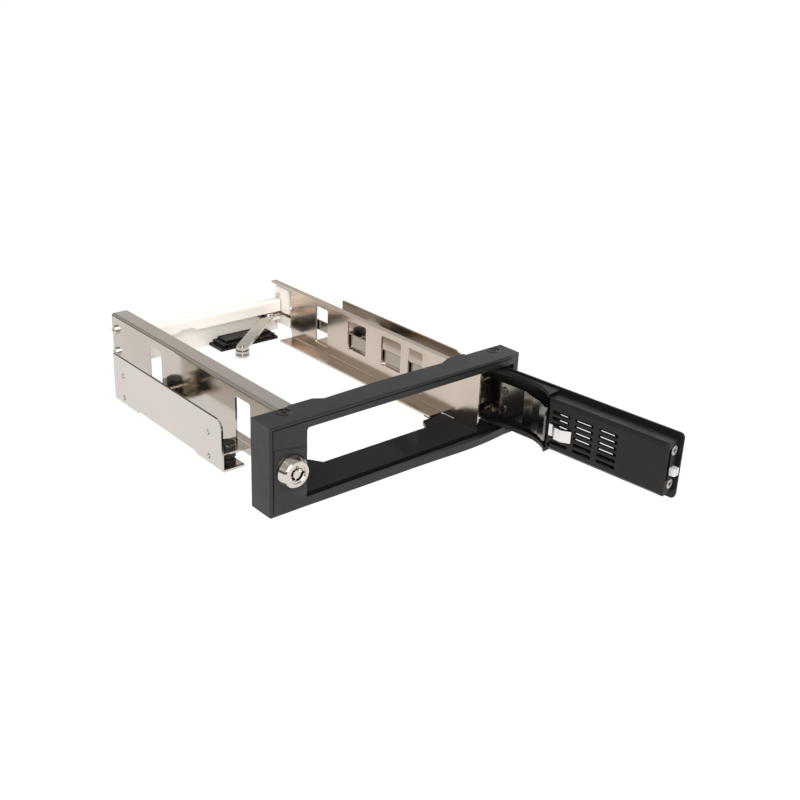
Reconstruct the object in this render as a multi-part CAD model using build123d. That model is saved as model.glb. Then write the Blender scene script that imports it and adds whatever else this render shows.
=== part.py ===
from build123d import *
import math
import os

# Hard drive mobile rack for a half-height 5.25 inch bay, in millimetres.
# X runs to the right, Y to the rear and Z up. The origin is the middle of the bezel's
# bottom front edge. The door is modelled open, as it rests.

# Bay standard
bay_width = 146.0
bay_screw_pitch_y = 79.25
bay_screw_pitch_z = 11.84
bay_screw_hole = 3.2
bay_screw_first_y = 50.3
bay_screw_low_z = 9.2

# Sheet metal and clearances
sheet = 1.0
bend_radius = 1.1
seat_gap = 0.1
slot_gap = 0.2
clear_gap = 0.3
overrun = 1.0

# Bezel
bezel_width = 148.0
bezel_height = 42.0
bezel_depth = 14.0
bezel_wall = 2.0
bezel_edge_chamfer = 0.6
edge_land = 1.3
edge_groove = 0.5
sill_height = 4.0
sill_bulge = 1.9
sill_knots = (89.0, 57.0, 28.0, 12.0)
rake_width = 8.0
floor_thickness = 2.0
floor_rise = 0.4
groove_front = 0.8
groove_rear = 3.5
jamb_width = 19.0
jamb_return = 1.2
post_width = 3.5
lintel_height = 4.6
mouth_corner = 1.5
floor_reach = 22.2
floor_step = 0.6
floor_side_lap = 3.2
floor_tab_reach = 29.5
left_tab_width = 19.0
right_tab_width = 14.4
tab_slope = 4.0
bezel_tongue = 6.5
bezel_tongue_width = 6.0
pocket_count = 6
pocket_inset = 6.0
pocket_rib = 2.0

# Rear edge of the bezel's top wall
top_eave = 1.0
top_hollow = 1.4
hollow_bow = 0.6
hollow_skew = 0.4
left_eave_step = 0.5
left_eave_width = 12.0
left_eave_slope = 4.5
right_eave_extra = 0.6
right_eave_step = 3.5
right_eave_width = 20.5
right_eave_slope = 6.5

# Top screws of the bezel
left_screw_inset = 14.2
right_screw_inset = 8.6
screw_setback = 3.7
bezel_screw = 2.9
bezel_screw_head = 5.6
bezel_screw_sink = 1.3
bezel_screw_boss = 6.8
cross_width = 0.6
cross_length = 3.4
cross_depth = 0.7

# Side plates
side_space = 20.5
plate_drop = 1.4
ear_rise = 1.5
ear_width = 7.6
plate_front = 5.4
left_plate_front = 3.4
chassis_end = 177.5
left_flange = 9.0
right_flange = 4.7
flange_setback = 1.6
ledge_top = 5.0
ledge_width = 9.0
ledge_setback = 16.5
tail_step = 5.0
tail_slope = 2.0

# Windows and damper tabs of the side plates
window_margin = 5.0
window_corner = 1.0
window_lip = 1.4
left_tab_limits = (-4.9, 7.5)
right_tab_limits = (-5.5, 5.5)
tab_top = 10.2
tab_window_drop = 1.2
tab_end_lap = 0.875
tab_eyelet = 1.2
tab_eyelet_lead = 3.0
tab_eyelet_setback = 3.4
tab_setback = 0.2
tab_pitch_extra = 0.75
right_tab_offset = 2.3
rod_window_lead = 11.4
rod_window_width = 15.9
rod_window_pitch = 28.9
plate_notch_setback = 15.5
plate_notch_width = 3.5
plate_notch_height = 2.5

# Bay brackets
bracket_front_margin = 11.3
bracket_rear_margin = 9.25
bracket_top_margin = 9.06
bracket_corner = 4.5
bracket_foot_z = 4.9
bracket_foot_lap = 2.2
bracket_foot_length = 21.5
bracket_arch = 2.1
bracket_arch_slope = 1.5

# Rubber dampers
damper_diameter = 8.2
damper_neck = 5.0
damper_crown = 1.7
damper_edge = 0.5
damper_screw = 3.0
damper_head = 8.3
damper_head_height = 1.1
damper_head_edge = 0.35

# Rear panel
panel_floor = 5.3
panel_rise = 8.1
panel_side_gap = 0.6
panel_shelf_depth = 6.5
panel_lip_rise = 1.1
panel_cheek_depth = 13.5
panel_cheek_drop = 3.0
panel_cheek_bottom = 10.4
lip_notch_lead = 21.6
lip_notch_width = 9.3
lip_notch_height = 1.5
lever_shelf_width = 10.0
lever_shelf_front = 4.6
lever_shelf_window = 8.5

# Rear screws
rear_screw = 2.6
rear_screw_head = 4.6
rear_screw_head_height = 1.4
rear_screw_setback = 4.0
rear_screw_drop = 5.0
rear_screw_left_z = 15.5
rear_screw_right_drop = 4.6

# Drive connector
connector_left = 5.2
connector_width = 38.6
connector_depth = 13.7
connector_bottom = 5.1
connector_tiers = ((0, 0, 0, 1.5), (2.5, 1.0, 1.6, 3.0), (5.8, 2.6, 4.2, 4.1))
contact_slot_inset = 3.6
contact_slot_depth = 6.0
contact_slot_rise = 1.7
contact_slot_height = 0.8
data_slot_width = 11.0
contact_key = 1.3

# Board and rear sockets
board_left = -8.0
board_width = 58.0
board_bottom = 7.0
board_height = 17.0
board_thickness = 1.6
board_screw = 2.4
board_screw_head = 4.8
board_screw_head_height = 1.4
board_screw_inset = 4.0
board_screw_lever_gap = 5.5
data_socket_inset = 10.0
data_socket_rise = 2.0
data_socket_width = 16.0
data_socket_height = 6.0
data_socket_depth = 7.0
power_socket_inset = 31.0
power_socket_rise = 1.5
power_socket_width = 22.0
power_socket_height = 9.0
power_socket_depth = 9.0
power_pin_pitch = 5.08
power_pin = 2.0
socket_back = 1.5
socket_wall = 1.3

# Door, measured closed
door_swing = 94.9
door_left_gap = 1.4
door_right_gap = 3.0
door_bottom_gap = 1.0
door_top_gap = 0.5
door_skin = 2.0
door_rim = 3.05
door_rim_width = 3.2
door_corner = 2.5
cover_side_gap = 0.8
cover_hinge_gap = 44.0
cover_low_inset = 3.5
cover_high_inset = 2.6
cover_depth = 12.4
cover_wall = 1.5
cover_bevel = 1.6
cheek_thickness = 2.0
cheek_knots = ((4.8, 4.0), (13.0, 7.0), (25.0, 7.2))
cheek_end_drop = 4.8
cheek_end_slope = 0.8
vent_rows = 6
vent_columns = 3
vent_length = 10.2
vent_column_pitch = 13.1
vent_low_margin = 4.6
vent_high_margin = 5.7
cover_vent_height = 1.8
cover_vent_margin = 2.9
panel_vent_height = 2.1
panel_vent_rise = 0.35
panel_vent_lead = 4.2
end_window_height = 3.2
end_window_low = 4.1
end_window_high = 4.9

# Hinge arm and pins
hinge_offset = 2.7
hinge_setback = 10.1
cheek_end_gap = 5.4
arm_low_inset = 3.8
arm_high_inset = 4.8
arm_bend = 2.0
arm_knots = ((6.4, 3.5), (11.3, 4.7))
arm_flat_lead = 18.8
arm_gap_low = 5.0
arm_gap_high = 4.6
arm_gap_length = 1.0
arm_slit_lead = 5.8
arm_slit_width = 0.8
arm_slit_height = 3.6
drive_lug_radius = 2.1
drive_lug_width = 3.4
arm_seat_y = 4.1
arm_rivet = 2.2
arm_rivet_head = 4.0
arm_rivet_head_height = 0.7
arm_rivet_inset = 12.7
arm_rivet_edge = 4.0
lug_radius = 2.4
lug_gap = 0.5
hinge_pin = 2.5
drive_pin = 2.4
drive_pin_radius = 5.44
drive_pin_angle = -44.0
drive_pin_drop = 1.8
stub_pin_length = 4.8
stub_upper_drop = 2.2
stub_lower_drop = 1.6

# Push rod
rod_travel = 8.0
rod_stand_off = 0.8
rod_bottom = 15.0
rod_top = 22.3
rod_neck_rise = 1.3
rod_neck_drop = 0.3
rod_neck_lead = 10.0
rod_hook_height = 2.7
rod_hook_width = 1.8
rod_tail_lead = 0.2
rod_tail_low = 1.9
rod_tail_high = 2.2
rod_tail_lap = 1.0
front_guide_lead = 17.8
rear_guide_lead = 15.8
rod_guide_z = 18.6
rod_guide_pin = 3.0
rod_guide_rivet = 2.0
guide_washer = 4.8
guide_head = 5.8
yoke_play = 0.45
yoke_wall = 1.2
yoke_overhang = 5.2
yoke_long_overhang = 6.1
yoke_root = 3.6
yoke_mouth = 2.0

# Eject lever
lever_inset = 9.0
lever_setback = 4.9
lever_bottom = 16.2
lever_thickness = 1.5
lever_length = 54.1
lever_width = 6.4
lever_open_angle = 220.3
lever_swing = 36.8
lever_slot_gap = 0.5
short_arm_angle = 4.8
short_arm_length = 15.2
short_arm_width = 4.5
short_arm_play = 0.85
pivot_diameter = 4.0
pivot_head = 6.2
roller_pin = 3.0
roller_hub = 4.0
roller_radius = 3.8
roller_drop = 4.2
roller_flange = 1.2
roller_gap = 1.1

# Lock
lock_inset = 10.8
lock_height = 19.6
lock_collar_base = 7.5
lock_collar_face = 6.2
lock_collar_rim = 0.9
lock_reach = 4.5
lock_barrel = 5.2
lock_bore = 4.3
lock_recess = 0.4
lock_nut_flats = 13.0
lock_nut_height = 2.6
keyway_outer = 3.2
keyway_inner = 1.9
keyway_depth = 6.0
key_notch_width = 1.2
key_notch_reach = 3.9
key_notch_depth = 3.5
tail_square = 4.4
cam_reach = 14.0
cam_width = 6.0
cam_hub = 4.2
cam_thickness = 1.2
cam_y = 8.9
cam_screw = 2.3
cam_washer = 6.8
cam_screw_head = 4.2

# Latch
latch_travel = 2.6
latch_width = 3.5
latch_low_z = 18.0
latch_front = 4.6
latch_depth = 3.6
latch_body_length = 7.5
latch_body_rise = 1.0
latch_room = 13.0
latch_tab_width = 3.0
latch_tab_proud = 0.8
latch_slope = 1.6
latch_stop = 1.4
latch_rail = 1.3
keeper_gap = 0.4
latch_wire = 0.22
latch_coil_radius = 1.0
latch_coils = 6
end_screw_y = 6.0
end_screw_low = 4.5
end_screw_high = 5.0
end_screw = 2.3
end_screw_head = 4.4
end_screw_sink = 1.2
end_screw_length = 7.0
end_boss = 2.4

# Pusher spring
pusher_thickness = 0.5
pusher_width = 5.9
pusher_low = 8.0
pusher_height = 2.2
pusher_bend = 0.9
pusher_seat_lead = 2.3
pusher_hole = 1.1

# Worked out from the sizes above: bezel
half_bay = bay_width / 2
half_bezel = bezel_width / 2
half_chassis = half_bezel - side_space
plate_inside = half_chassis - sheet
through_web = (plate_inside - overrun, half_chassis + overrun)
opening_left = -half_bezel + jamb_width
opening_right = half_bezel - post_width
opening_top = bezel_height - lintel_height
floor_top = sill_height + floor_rise
rake_depth = 0.63 * sill_bulge
pocket_pitch = (bezel_width - 2 * pocket_inset + pocket_rib) / pocket_count
screw_y = bezel_depth - screw_setback
left_screw_x = -half_bezel + left_screw_inset
right_screw_x = half_bezel - right_screw_inset
ear_top = opening_top + ear_rise

# Worked out: side plates, brackets and dampers
plate_top = opening_top - plate_drop
plate_foot = floor_top + seat_gap
flange_front = bezel_depth + flange_setback
ledge_front = floor_tab_reach + 2 * clear_gap
ledge_end = chassis_end - ledge_setback
window_top = plate_top - window_margin
window_sill = rod_bottom - lever_slot_gap
tab_bottom = tab_top - sheet
tab_first_y = bay_screw_first_y + tab_setback
tab_pitch_y = bay_screw_pitch_y + tab_pitch_extra
left_tabs = (tab_first_y, tab_first_y + tab_pitch_y)
right_tabs = (tab_first_y + right_tab_offset, tab_first_y + tab_pitch_y + right_tab_offset)
damper_x = (half_chassis + half_bay) / 2
tab_end_x = (damper_x + half_bay - sheet) / 2 + tab_end_lap
damper_top = tab_top + damper_crown
bracket_front = bay_screw_first_y - bracket_front_margin
bracket_rear = bay_screw_first_y + bay_screw_pitch_y + bracket_rear_margin
bracket_top = bay_screw_low_z + bay_screw_pitch_z + bracket_top_margin
rod_windows = (right_tabs[0] + rod_window_lead, right_tabs[0] + rod_window_lead + rod_window_pitch)

# Worked out: rear end
panel_front = chassis_end - sheet
panel_cheek_front = chassis_end - panel_cheek_depth
panel_cheek_top = plate_top - panel_cheek_drop
lever_top = lever_bottom + lever_thickness
panel_top = lever_top + panel_rise
panel_lip_bottom = lever_top + panel_lip_rise
lever_slot_z = (lever_bottom - lever_slot_gap, lever_top + lever_slot_gap)
lever_x = plate_inside - lever_inset
lever_y = chassis_end - lever_setback
shelf_top = lever_bottom - slot_gap
roller_bottom = lever_bottom - roller_drop
connector_front = chassis_end - connector_depth
rear_screw_y = chassis_end - rear_screw_setback
rear_screws_left = (panel_cheek_top - rear_screw_drop, rear_screw_left_z)
rear_screws_right = (panel_cheek_top - rear_screw_drop, lever_bottom - rear_screw_right_drop)
board_rear = chassis_end + board_thickness
board_screws = (board_left + board_screw_inset, lever_x - lever_shelf_width / 2 - board_screw_lever_gap)
board_screw_z = board_bottom + board_height - board_screw_inset

# Worked out: door
hinge_x = half_chassis + hinge_offset
hinge_y = hinge_setback
door_left = opening_left + door_left_gap
door_right = opening_right - door_right_gap
door_bottom = sill_height + door_bottom_gap
door_top = opening_top - door_top_gap
cover_left = -plate_inside + cover_side_gap
cover_right = hinge_x - cover_hinge_gap
cover_bottom = door_bottom + cover_low_inset
cover_top = door_top - cover_high_inset
cover_inside = cover_depth - cover_wall
vent_pitch = (cover_top - cover_bottom - vent_low_margin - vent_high_margin) / (vent_rows - 1)
cover_vent_first_z = cover_bottom + vent_low_margin
cover_vent_right = cover_right - cover_vent_margin
panel_vent_first_z = cover_vent_first_z + panel_vent_rise
panel_vent_right = cover_right + panel_vent_lead
arm_bottom = cover_bottom + arm_low_inset
arm_top = cover_top - arm_high_inset
arm_rivet_x = hinge_x - arm_rivet_inset
arm_rivet_z = (arm_bottom + arm_rivet_edge, arm_top - arm_rivet_edge)
chassis_lug_upper = arm_top + lug_gap
chassis_lug_lower = arm_bottom - lug_gap - sheet
end_screw_z = (cover_bottom + end_screw_low, cover_top - end_screw_high)

# Worked out: latch and lock
latch_body_z = (latch_low_z - latch_body_rise, latch_low_z + latch_width + latch_body_rise)
latch_body_x = cover_left + cover_wall + slot_gap
latch_stop_x = latch_body_x + latch_room
latch_tab_x = latch_body_x + latch_tab_width
latch_spring_seat = latch_body_x + latch_body_length - 2.5 * sheet
latch_axis_y = latch_front + latch_depth / 2 - slot_gap
latch_axis_z = latch_low_z + latch_width / 2
lock_x = -half_bezel + lock_inset
lock_barrel_end = cam_y - seat_gap
cam_tail = cam_y + cam_thickness + seat_gap
cam_sweep = math.sqrt(cam_reach ** 2 - (side_space - lock_inset) ** 2)
cam_slot_y = (cam_y - keeper_gap, cam_y + cam_thickness + keeper_gap)
cam_slot_z = (lock_height - cam_width / 2 - 2 * keeper_gap, lock_height + cam_sweep + 3 * keeper_gap)

# Worked out: push rod, measured closed
rod_x = half_chassis + rod_stand_off
rod_guides = (right_tabs[0] - front_guide_lead, right_tabs[1] - rear_guide_lead)
rod_tail_start = right_tabs[1] + rod_tail_lead
rod_neck_start = rod_guides[1] - rod_neck_lead
closed_arm_angle = math.radians(short_arm_angle - lever_swing)
lever_y_closed = lever_y + (rod_x + sheet / 2 - lever_x) * math.tan(closed_arm_angle)
lever_window_half = short_arm_width / 2 / math.cos(closed_arm_angle) + short_arm_play
rod_tail_end = lever_y_closed + lever_window_half + rod_tail_lap
drive_pin_bottom = rod_top - drive_pin_drop
yoke_reach = hinge_x + yoke_overhang
yoke_long_reach = hinge_x + yoke_long_overhang


# Helpers

UP = (Align.CENTER, Align.CENTER, Align.MIN)
DOWN = (Align.CENTER, Align.CENTER, Align.MAX)


def block(x, y, z):
    """Box between the limits x, y and z."""
    middle = Pos((x[0] + x[1]) / 2, (y[0] + y[1]) / 2, (z[0] + z[1]) / 2)
    return middle * Box(x[1] - x[0], y[1] - y[0], z[1] - z[0])


def pin_x(radius, y, z, x):
    """Cylinder along X between the limits x."""
    bar = Cylinder(radius, x[1] - x[0], align=UP)
    return Pos(x[0], y, z) * Rot(0, 90, 0) * bar


def pin_y(radius, x, z, y):
    """Cylinder along Y between the limits y."""
    bar = Cylinder(radius, y[1] - y[0], align=UP)
    return Pos(x, y[0], z) * Rot(-90, 0, 0) * bar


def pin_z(radius, x, y, z):
    """Cylinder along Z between the limits z."""
    bar = Cylinder(radius, z[1] - z[0], align=UP)
    return Pos(x, y, z[0]) * bar


def prism_x(face, x):
    """Extrude a (Y, Z) face along X between the limits x."""
    return extrude(Plane.YZ.offset(x[0]) * face, amount=x[1] - x[0])


def prism_y(face, y):
    """Extrude an (X, Z) face along Y between the limits y."""
    return extrude(Plane.XZ.offset(-y[0]) * face, amount=y[0] - y[1])


def prism_z(face, z):
    """Extrude an (X, Y) face along Z between the limits z."""
    return extrude(Plane.XY.offset(z[0]) * face, amount=z[1] - z[0])


def window(u, v, radius):
    """Rounded rectangle between the limits u and v."""
    width = u[1] - u[0]
    height = v[1] - v[0]
    corner = min(radius, 0.45 * width, 0.45 * height)
    return Pos((u[0] + u[1]) / 2, (v[0] + v[1]) / 2) * RectangleRounded(width, height, corner)


def outline(*points):
    """Face inside a closed polygon."""
    return make_face(Polyline(*points, close=True))


def strip(points, thickness, bend):
    """Section of bent sheet whose middle line runs through the points with round bends."""
    half = thickness / 2
    steps = [Vector(*b) - Vector(*a) for a, b in zip(points, points[1:])]
    steps = [step.normalized() for step in steps]
    sides = []
    for side in (1, -1):
        line = []
        radii = []
        for index, point in enumerate(points):
            before = steps[max(index - 1, 0)]
            after = steps[min(index, len(steps) - 1)]
            normal = Vector(-before.Y - after.Y, before.X + after.X) / (1 + before.dot(after))
            line.append(Vector(*point) + normal * (half * side))
            turn = before.X * after.Y - before.Y * after.X
            if 0 < index < len(points) - 1:
                radii.append(bend - half * side * math.copysign(1, turn))
        if len(points) > 2:
            sides.append(FilletPolyline(*line, radius=radii))
        else:
            sides.append(Line(*line))
    caps = [Line(sides[0] @ end, sides[1] @ end) for end in (0, 1)]
    return make_face(sides[0].edges() + sides[1].edges() + caps)


def polar(x, y, radius, angle):
    """Point at a radius and an angle in degrees from (x, y)."""
    turn = math.radians(angle)
    return (x + radius * math.cos(turn), y + radius * math.sin(turn))


def bar_between(start, end, width):
    """Flat bar with round ends between two points."""
    length = math.dist(start, end)
    angle = math.degrees(math.atan2(end[1] - start[1], end[0] - start[0]))
    middle = Pos((start[0] + end[0]) / 2, (start[1] + end[1]) / 2)
    return middle * Rot(0, 0, angle) * SlotCenterToCenter(length, width)


def cross_z(x, y, z):
    """Cutter for a cross recess in a screw head that faces up."""
    long = cross_length / 2
    short = cross_width / 2
    bar = block((x - long, x + long), (y - short, y + short), z)
    return bar + block((x - short, x + short), (y - long, y + long), z)


def cross_x(y, z, x):
    """Cutter for a cross recess in a screw head that faces along X."""
    long = cross_length / 2
    short = cross_width / 2
    bar = block(x, (y - long, y + long), (z - short, z + short))
    return bar + block(x, (y - short, y + short), (z - long, z + long))


def swung(part):
    """Move a door piece from its closed place to the open one."""
    return Pos(hinge_x, hinge_y, 0) * Rot(0, 0, door_swing) * Pos(-hinge_x, -hinge_y, 0) * part


# Bezel

def top_wall():
    """Top wall in plan, with an eave over each side plate and a hollow rear edge between."""
    left_eave = opening_left + left_eave_step
    left_bay = -half_chassis + left_eave_width
    left_hollow = left_bay + left_eave_slope
    right_bay = half_chassis - right_eave_width
    right_eave = half_chassis - right_eave_step
    eave = bezel_depth + top_eave
    right_edge = eave + right_eave_extra
    hollow = bezel_depth - top_hollow
    edge = [
        Polyline(
            (right_bay, hollow),
            (right_bay + right_eave_slope, right_edge),
            (right_eave, right_edge),
            (right_eave, bezel_depth),
            (half_bezel, bezel_depth),
            (half_bezel, 0),
            (-half_bezel, 0),
            (-half_bezel, bezel_depth),
            (left_eave, bezel_depth),
            (left_eave, eave),
            (left_bay, eave),
            (left_hollow, hollow - hollow_skew),
        ),
        ThreePointArc((left_hollow, hollow - hollow_skew), (0, hollow + hollow_bow), (right_bay, hollow)),
    ]
    return prism_z(make_face(edge[0].edges() + [edge[1]]), (bezel_height - bezel_wall, bezel_height))


def sill():
    """Front sill, bowed forward in plan, with the floor behind it."""
    knots = [half_bezel - lead for lead in sill_knots]
    back_y = groove_rear - 0.5
    front = Spline(
        (opening_left, 0),
        (knots[0], -0.37 * sill_bulge),
        (knots[1], -0.63 * sill_bulge),
        (knots[2], -sill_bulge),
        (knots[3], -0.32 * sill_bulge),
        (half_bezel, rake_depth),
    )
    back = Polyline((half_bezel, rake_depth), (half_bezel, back_y), (opening_left, back_y), (opening_left, 0))
    bow = prism_z(make_face([front] + back.edges()), (0, sill_height))
    groove = block((opening_left, opening_right), (groove_front, groove_rear), (floor_thickness, floor_top + overrun))
    return bow - groove


def floor_shelf():
    """Floor behind the sill, with a tab along each side plate and a tongue under its ledge."""
    inner = plate_inside - seat_gap
    plan = outline(
        (-half_chassis, groove_rear),
        (-half_chassis, floor_reach),
        (-inner, floor_reach),
        (-inner, floor_tab_reach),
        (-inner + left_tab_width, floor_tab_reach - 2 * floor_step),
        (-inner + left_tab_width + tab_slope, floor_reach),
        (inner - right_tab_width - tab_slope, floor_reach),
        (inner - right_tab_width, floor_tab_reach - floor_step),
        (inner, floor_tab_reach),
        (inner, floor_reach - floor_step),
        (half_chassis + floor_side_lap, floor_reach - floor_step),
        (half_chassis + floor_side_lap, groove_rear),
    )
    shelf = prism_z(plan, (floor_top - floor_thickness, floor_top))
    tongue_top = ledge_top - sheet - seat_gap
    for side in (-1, 1):
        centre = side * (plate_inside - ledge_width / 2)
        x = (centre - bezel_tongue_width / 2, centre + bezel_tongue_width / 2)
        y = (floor_tab_reach - bezel_tongue_width / 2, floor_tab_reach + bezel_tongue)
        shelf += block(x, y, (floor_top - floor_thickness, tongue_top))
    return shelf


def make_bezel():
    body = block((-half_bezel, half_bezel), (0, bezel_depth), (0, bezel_height))
    inside = half_bezel - bezel_wall
    mouth_x = (opening_left, opening_right)
    body -= block((-inside, inside), (bezel_wall, bezel_depth + overrun), (floor_top, bezel_height + overrun))
    body -= prism_y(window(mouth_x, (sill_height, opening_top), mouth_corner), (-overrun, bezel_wall + overrun))
    body -= block(mouth_x, (-overrun, groove_rear), (floor_thickness, opening_top - 2 * mouth_corner))
    body += top_wall()
    body += sill()
    body += floor_shelf()
    # Moulding pockets under the floor, with ribs left between them
    pocket_y = (groove_rear + bezel_wall, bezel_depth - bezel_wall)
    for index in range(pocket_count):
        x = -half_bezel + pocket_inset + index * pocket_pitch
        body -= block((x, x + pocket_pitch - pocket_rib), pocket_y, (-overrun, floor_thickness))
    # Return of the jamb behind the front wall
    body += block((opening_left - jamb_return, opening_left), (0, groove_rear - 0.5), (floor_top, opening_top))
    # Raked right end
    rake = outline(
        (half_bezel - rake_width, 0),
        (half_bezel, rake_depth),
        (half_bezel + overrun, rake_depth),
        (half_bezel + overrun, -overrun),
        (half_bezel - rake_width, -overrun),
    )
    body -= prism_z(rake, (sill_height, bezel_height))
    # Fine groove inside the front face's top and left edges
    land_x = -half_bezel + edge_land
    land_z = bezel_height - edge_land
    groove_y = (-overrun, edge_groove)
    body -= block((land_x, half_bezel + overrun), groove_y, (land_z - edge_groove, land_z))
    body -= block((land_x, land_x + edge_groove), groove_y, (edge_land, land_z))
    # Lock hole, and a screw boss at each top corner
    body -= pin_y(lock_barrel + seat_gap, lock_x, lock_height, (-overrun, bezel_wall + overrun))
    hole = bezel_screw / 2 + seat_gap
    for x in (left_screw_x, right_screw_x):
        body += pin_z(bezel_screw_boss / 2, x, screw_y, (ear_top, bezel_height - bezel_wall))
        body -= pin_z(hole, x, screw_y, (ear_top - overrun, bezel_height + overrun))
        sink = Cone(hole, bezel_screw_head / 2 + seat_gap, bezel_screw_sink, align=DOWN)
        body -= Pos(x, screw_y, bezel_height) * sink
    left_front = body.edges().filter_by(Axis.Z).sort_by(Axis.Y)
    left_front = [edge for edge in left_front if abs(edge.center().X + half_bezel) < 0.01 and edge.center().Y < 0.01]
    top_front = body.edges().filter_by(GeomType.LINE).filter_by_position(Axis.Y, -0.01, 0.01)
    top_front = [edge for edge in top_front if abs(edge.center().Z - bezel_height) < 0.01]
    return chamfer(left_front + top_front, bezel_edge_chamfer)


def make_bezel_screws():
    screws = []
    top = bezel_height - seat_gap / 2
    for x in (left_screw_x, right_screw_x):
        shank = pin_z(bezel_screw / 2, x, screw_y, (opening_top + seat_gap, bezel_height - bezel_screw_sink))
        head = Cone(bezel_screw / 2, bezel_screw_head / 2, bezel_screw_sink, align=DOWN)
        recess = cross_z(x, screw_y, (bezel_height - cross_depth, bezel_height + overrun))
        screws.append(shank + Pos(x, screw_y, top) * head - recess)
    return screws


# Side plates

def plate_blank(front, flange):
    """Bent channel: web with an inward flange on top and an inward ledge below, on the right."""
    middle = half_chassis - sheet / 2
    section = strip(
        [
            (half_chassis - flange, plate_top - sheet / 2),
            (middle, plate_top - sheet / 2),
            (middle, ledge_top - sheet / 2),
            (plate_inside - ledge_width, ledge_top - sheet / 2),
        ],
        sheet,
        bend_radius,
    )
    plate = prism_y(section, (front, chassis_end))
    inner = plate_inside - ledge_width - overrun
    outer = half_chassis + overrun
    start = front - overrun
    # Front end: no flange or ledge beside the bezel
    plate -= block((inner, plate_inside), (start, flange_front), (plate_top - 5 * sheet, plate_top + overrun))
    plate -= block((inner, plate_inside), (start, ledge_front), (0, ledge_top + 5 * sheet))
    plate -= block((inner, outer), (start, ledge_front), (0, plate_foot))
    plate -= block((inner, outer), (start, flange_front), (plate_top - bend_radius, plate_top + overrun))
    # Rear end: the ledge stops short and the web steps up
    step = outline(
        (ledge_end, 0),
        (ledge_end, ledge_top),
        (ledge_end + tail_slope, ledge_top + tail_step),
        (chassis_end + overrun, ledge_top + tail_step),
        (chassis_end + overrun, 0),
    )
    return plate - prism_x(step, (inner, outer))


def plate_ear(reach):
    """Front ear: the web rises and turns outward under the bezel's top screw."""
    middle = half_chassis - sheet / 2
    section = strip(
        [(middle, plate_top - 3 * sheet), (middle, ear_top - sheet / 2), (reach, ear_top - sheet / 2)],
        sheet,
        bend_radius,
    )
    return prism_y(section, (screw_y - ear_width / 2, screw_y + ear_width / 2))


def add_tab(plate, y, reach):
    """Cut a damper window and turn its flap outward as the tab that the damper grips."""
    middle = half_chassis - sheet / 2
    limits = (y + reach[0], y + reach[1])
    bottom = tab_bottom - tab_window_drop
    cut = prism_x(window(limits, (bottom, window_top), window_corner), through_web)
    lower = block(through_web, limits, (bottom, tab_top + 2 * window_corner))
    section = strip(
        [
            (middle, bottom - tab_window_drop),
            (middle, tab_bottom + sheet / 2),
            (tab_end_x, tab_bottom + sheet / 2),
        ],
        sheet,
        bend_radius,
    )
    tab = prism_y(section, limits)
    through_tab = (tab_bottom - overrun, tab_top + overrun)
    tab -= pin_z(damper_neck / 2 + seat_gap, damper_x, y, through_tab)
    tab -= pin_z(tab_eyelet / 2, half_chassis + tab_eyelet_lead, y - tab_eyelet_setback, through_tab)
    return plate - cut - lower + tab


def add_window(plate, y, z):
    """Cut a window through the web and turn a short lip outward at its lower edge."""
    plate -= prism_x(window(y, z, window_corner), through_web)
    inset = window_corner + slot_gap
    return plate + block((plate_inside, half_chassis + window_lip), (y[0] + inset, y[1] - inset), (z[0] - sheet, z[0]))


def rear_screw_holes(plate, heights):
    for z in heights:
        plate -= pin_x(rear_screw / 2, rear_screw_y, z, through_web)
    return plate


def make_left_side_plate():
    plate = plate_blank(left_plate_front, left_flange)
    for y in left_tabs:
        plate = add_tab(plate, y, left_tab_limits)
    plate += plate_ear(ear_width / 2 - left_screw_x)
    plate -= pin_z(bezel_screw / 2, -left_screw_x, screw_y, (ear_top - 2 * sheet, ear_top + sheet))
    plate = rear_screw_holes(plate, rear_screws_left)
    # Latch keeper, and the slot that the lock cam turns through
    keeper = window(
        (latch_front - slot_gap, latch_front + latch_depth + keeper_gap),
        (latch_low_z - keeper_gap, latch_low_z + latch_width + keeper_gap),
        keeper_gap,
    )
    plate -= prism_x(keeper, through_web)
    plate -= prism_x(window(cam_slot_y, cam_slot_z, keeper_gap), through_web)
    return mirror(plate, about=Plane.YZ)


def make_right_side_plate():
    plate = plate_blank(plate_front, right_flange)
    for y in right_tabs:
        plate = add_tab(plate, y, right_tab_limits)
    for y in rod_windows:
        plate = add_window(plate, (y, y + rod_window_width), (window_sill, window_top))
    plate += plate_ear(right_screw_x + ear_width / 2)
    plate -= pin_z(bezel_screw / 2, right_screw_x, screw_y, (ear_top - 2 * sheet, ear_top + sheet))
    plate = rear_screw_holes(plate, rear_screws_right)
    # Hinge lugs, welded to the outside of the web
    for bottom in (chassis_lug_upper, chassis_lug_lower):
        lug_z = (bottom, bottom + sheet)
        lug = block((plate_inside, hinge_x), (hinge_y - lug_radius, hinge_y + lug_radius), lug_z)
        lug += pin_z(lug_radius, hinge_x, hinge_y, lug_z)
        lug -= pin_z(hinge_pin / 2, hinge_x, hinge_y, (bottom - overrun, bottom + sheet + overrun))
        plate += lug
    for y in rod_guides:
        plate -= pin_x(rod_guide_rivet / 2, y, rod_guide_z, through_web)
    slot = window((panel_cheek_front - overrun, panel_front - lever_slot_gap), lever_slot_z, clear_gap)
    plate -= prism_x(slot, through_web)
    notch_y = chassis_end - plate_notch_setback
    notch_z = lever_top + rod_tail_high + 2 * clear_gap
    notch = window((notch_y, notch_y + plate_notch_width), (notch_z, notch_z + plate_notch_height), window_corner / 2)
    return plate - prism_x(notch, through_web)


# Rear panel

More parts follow.
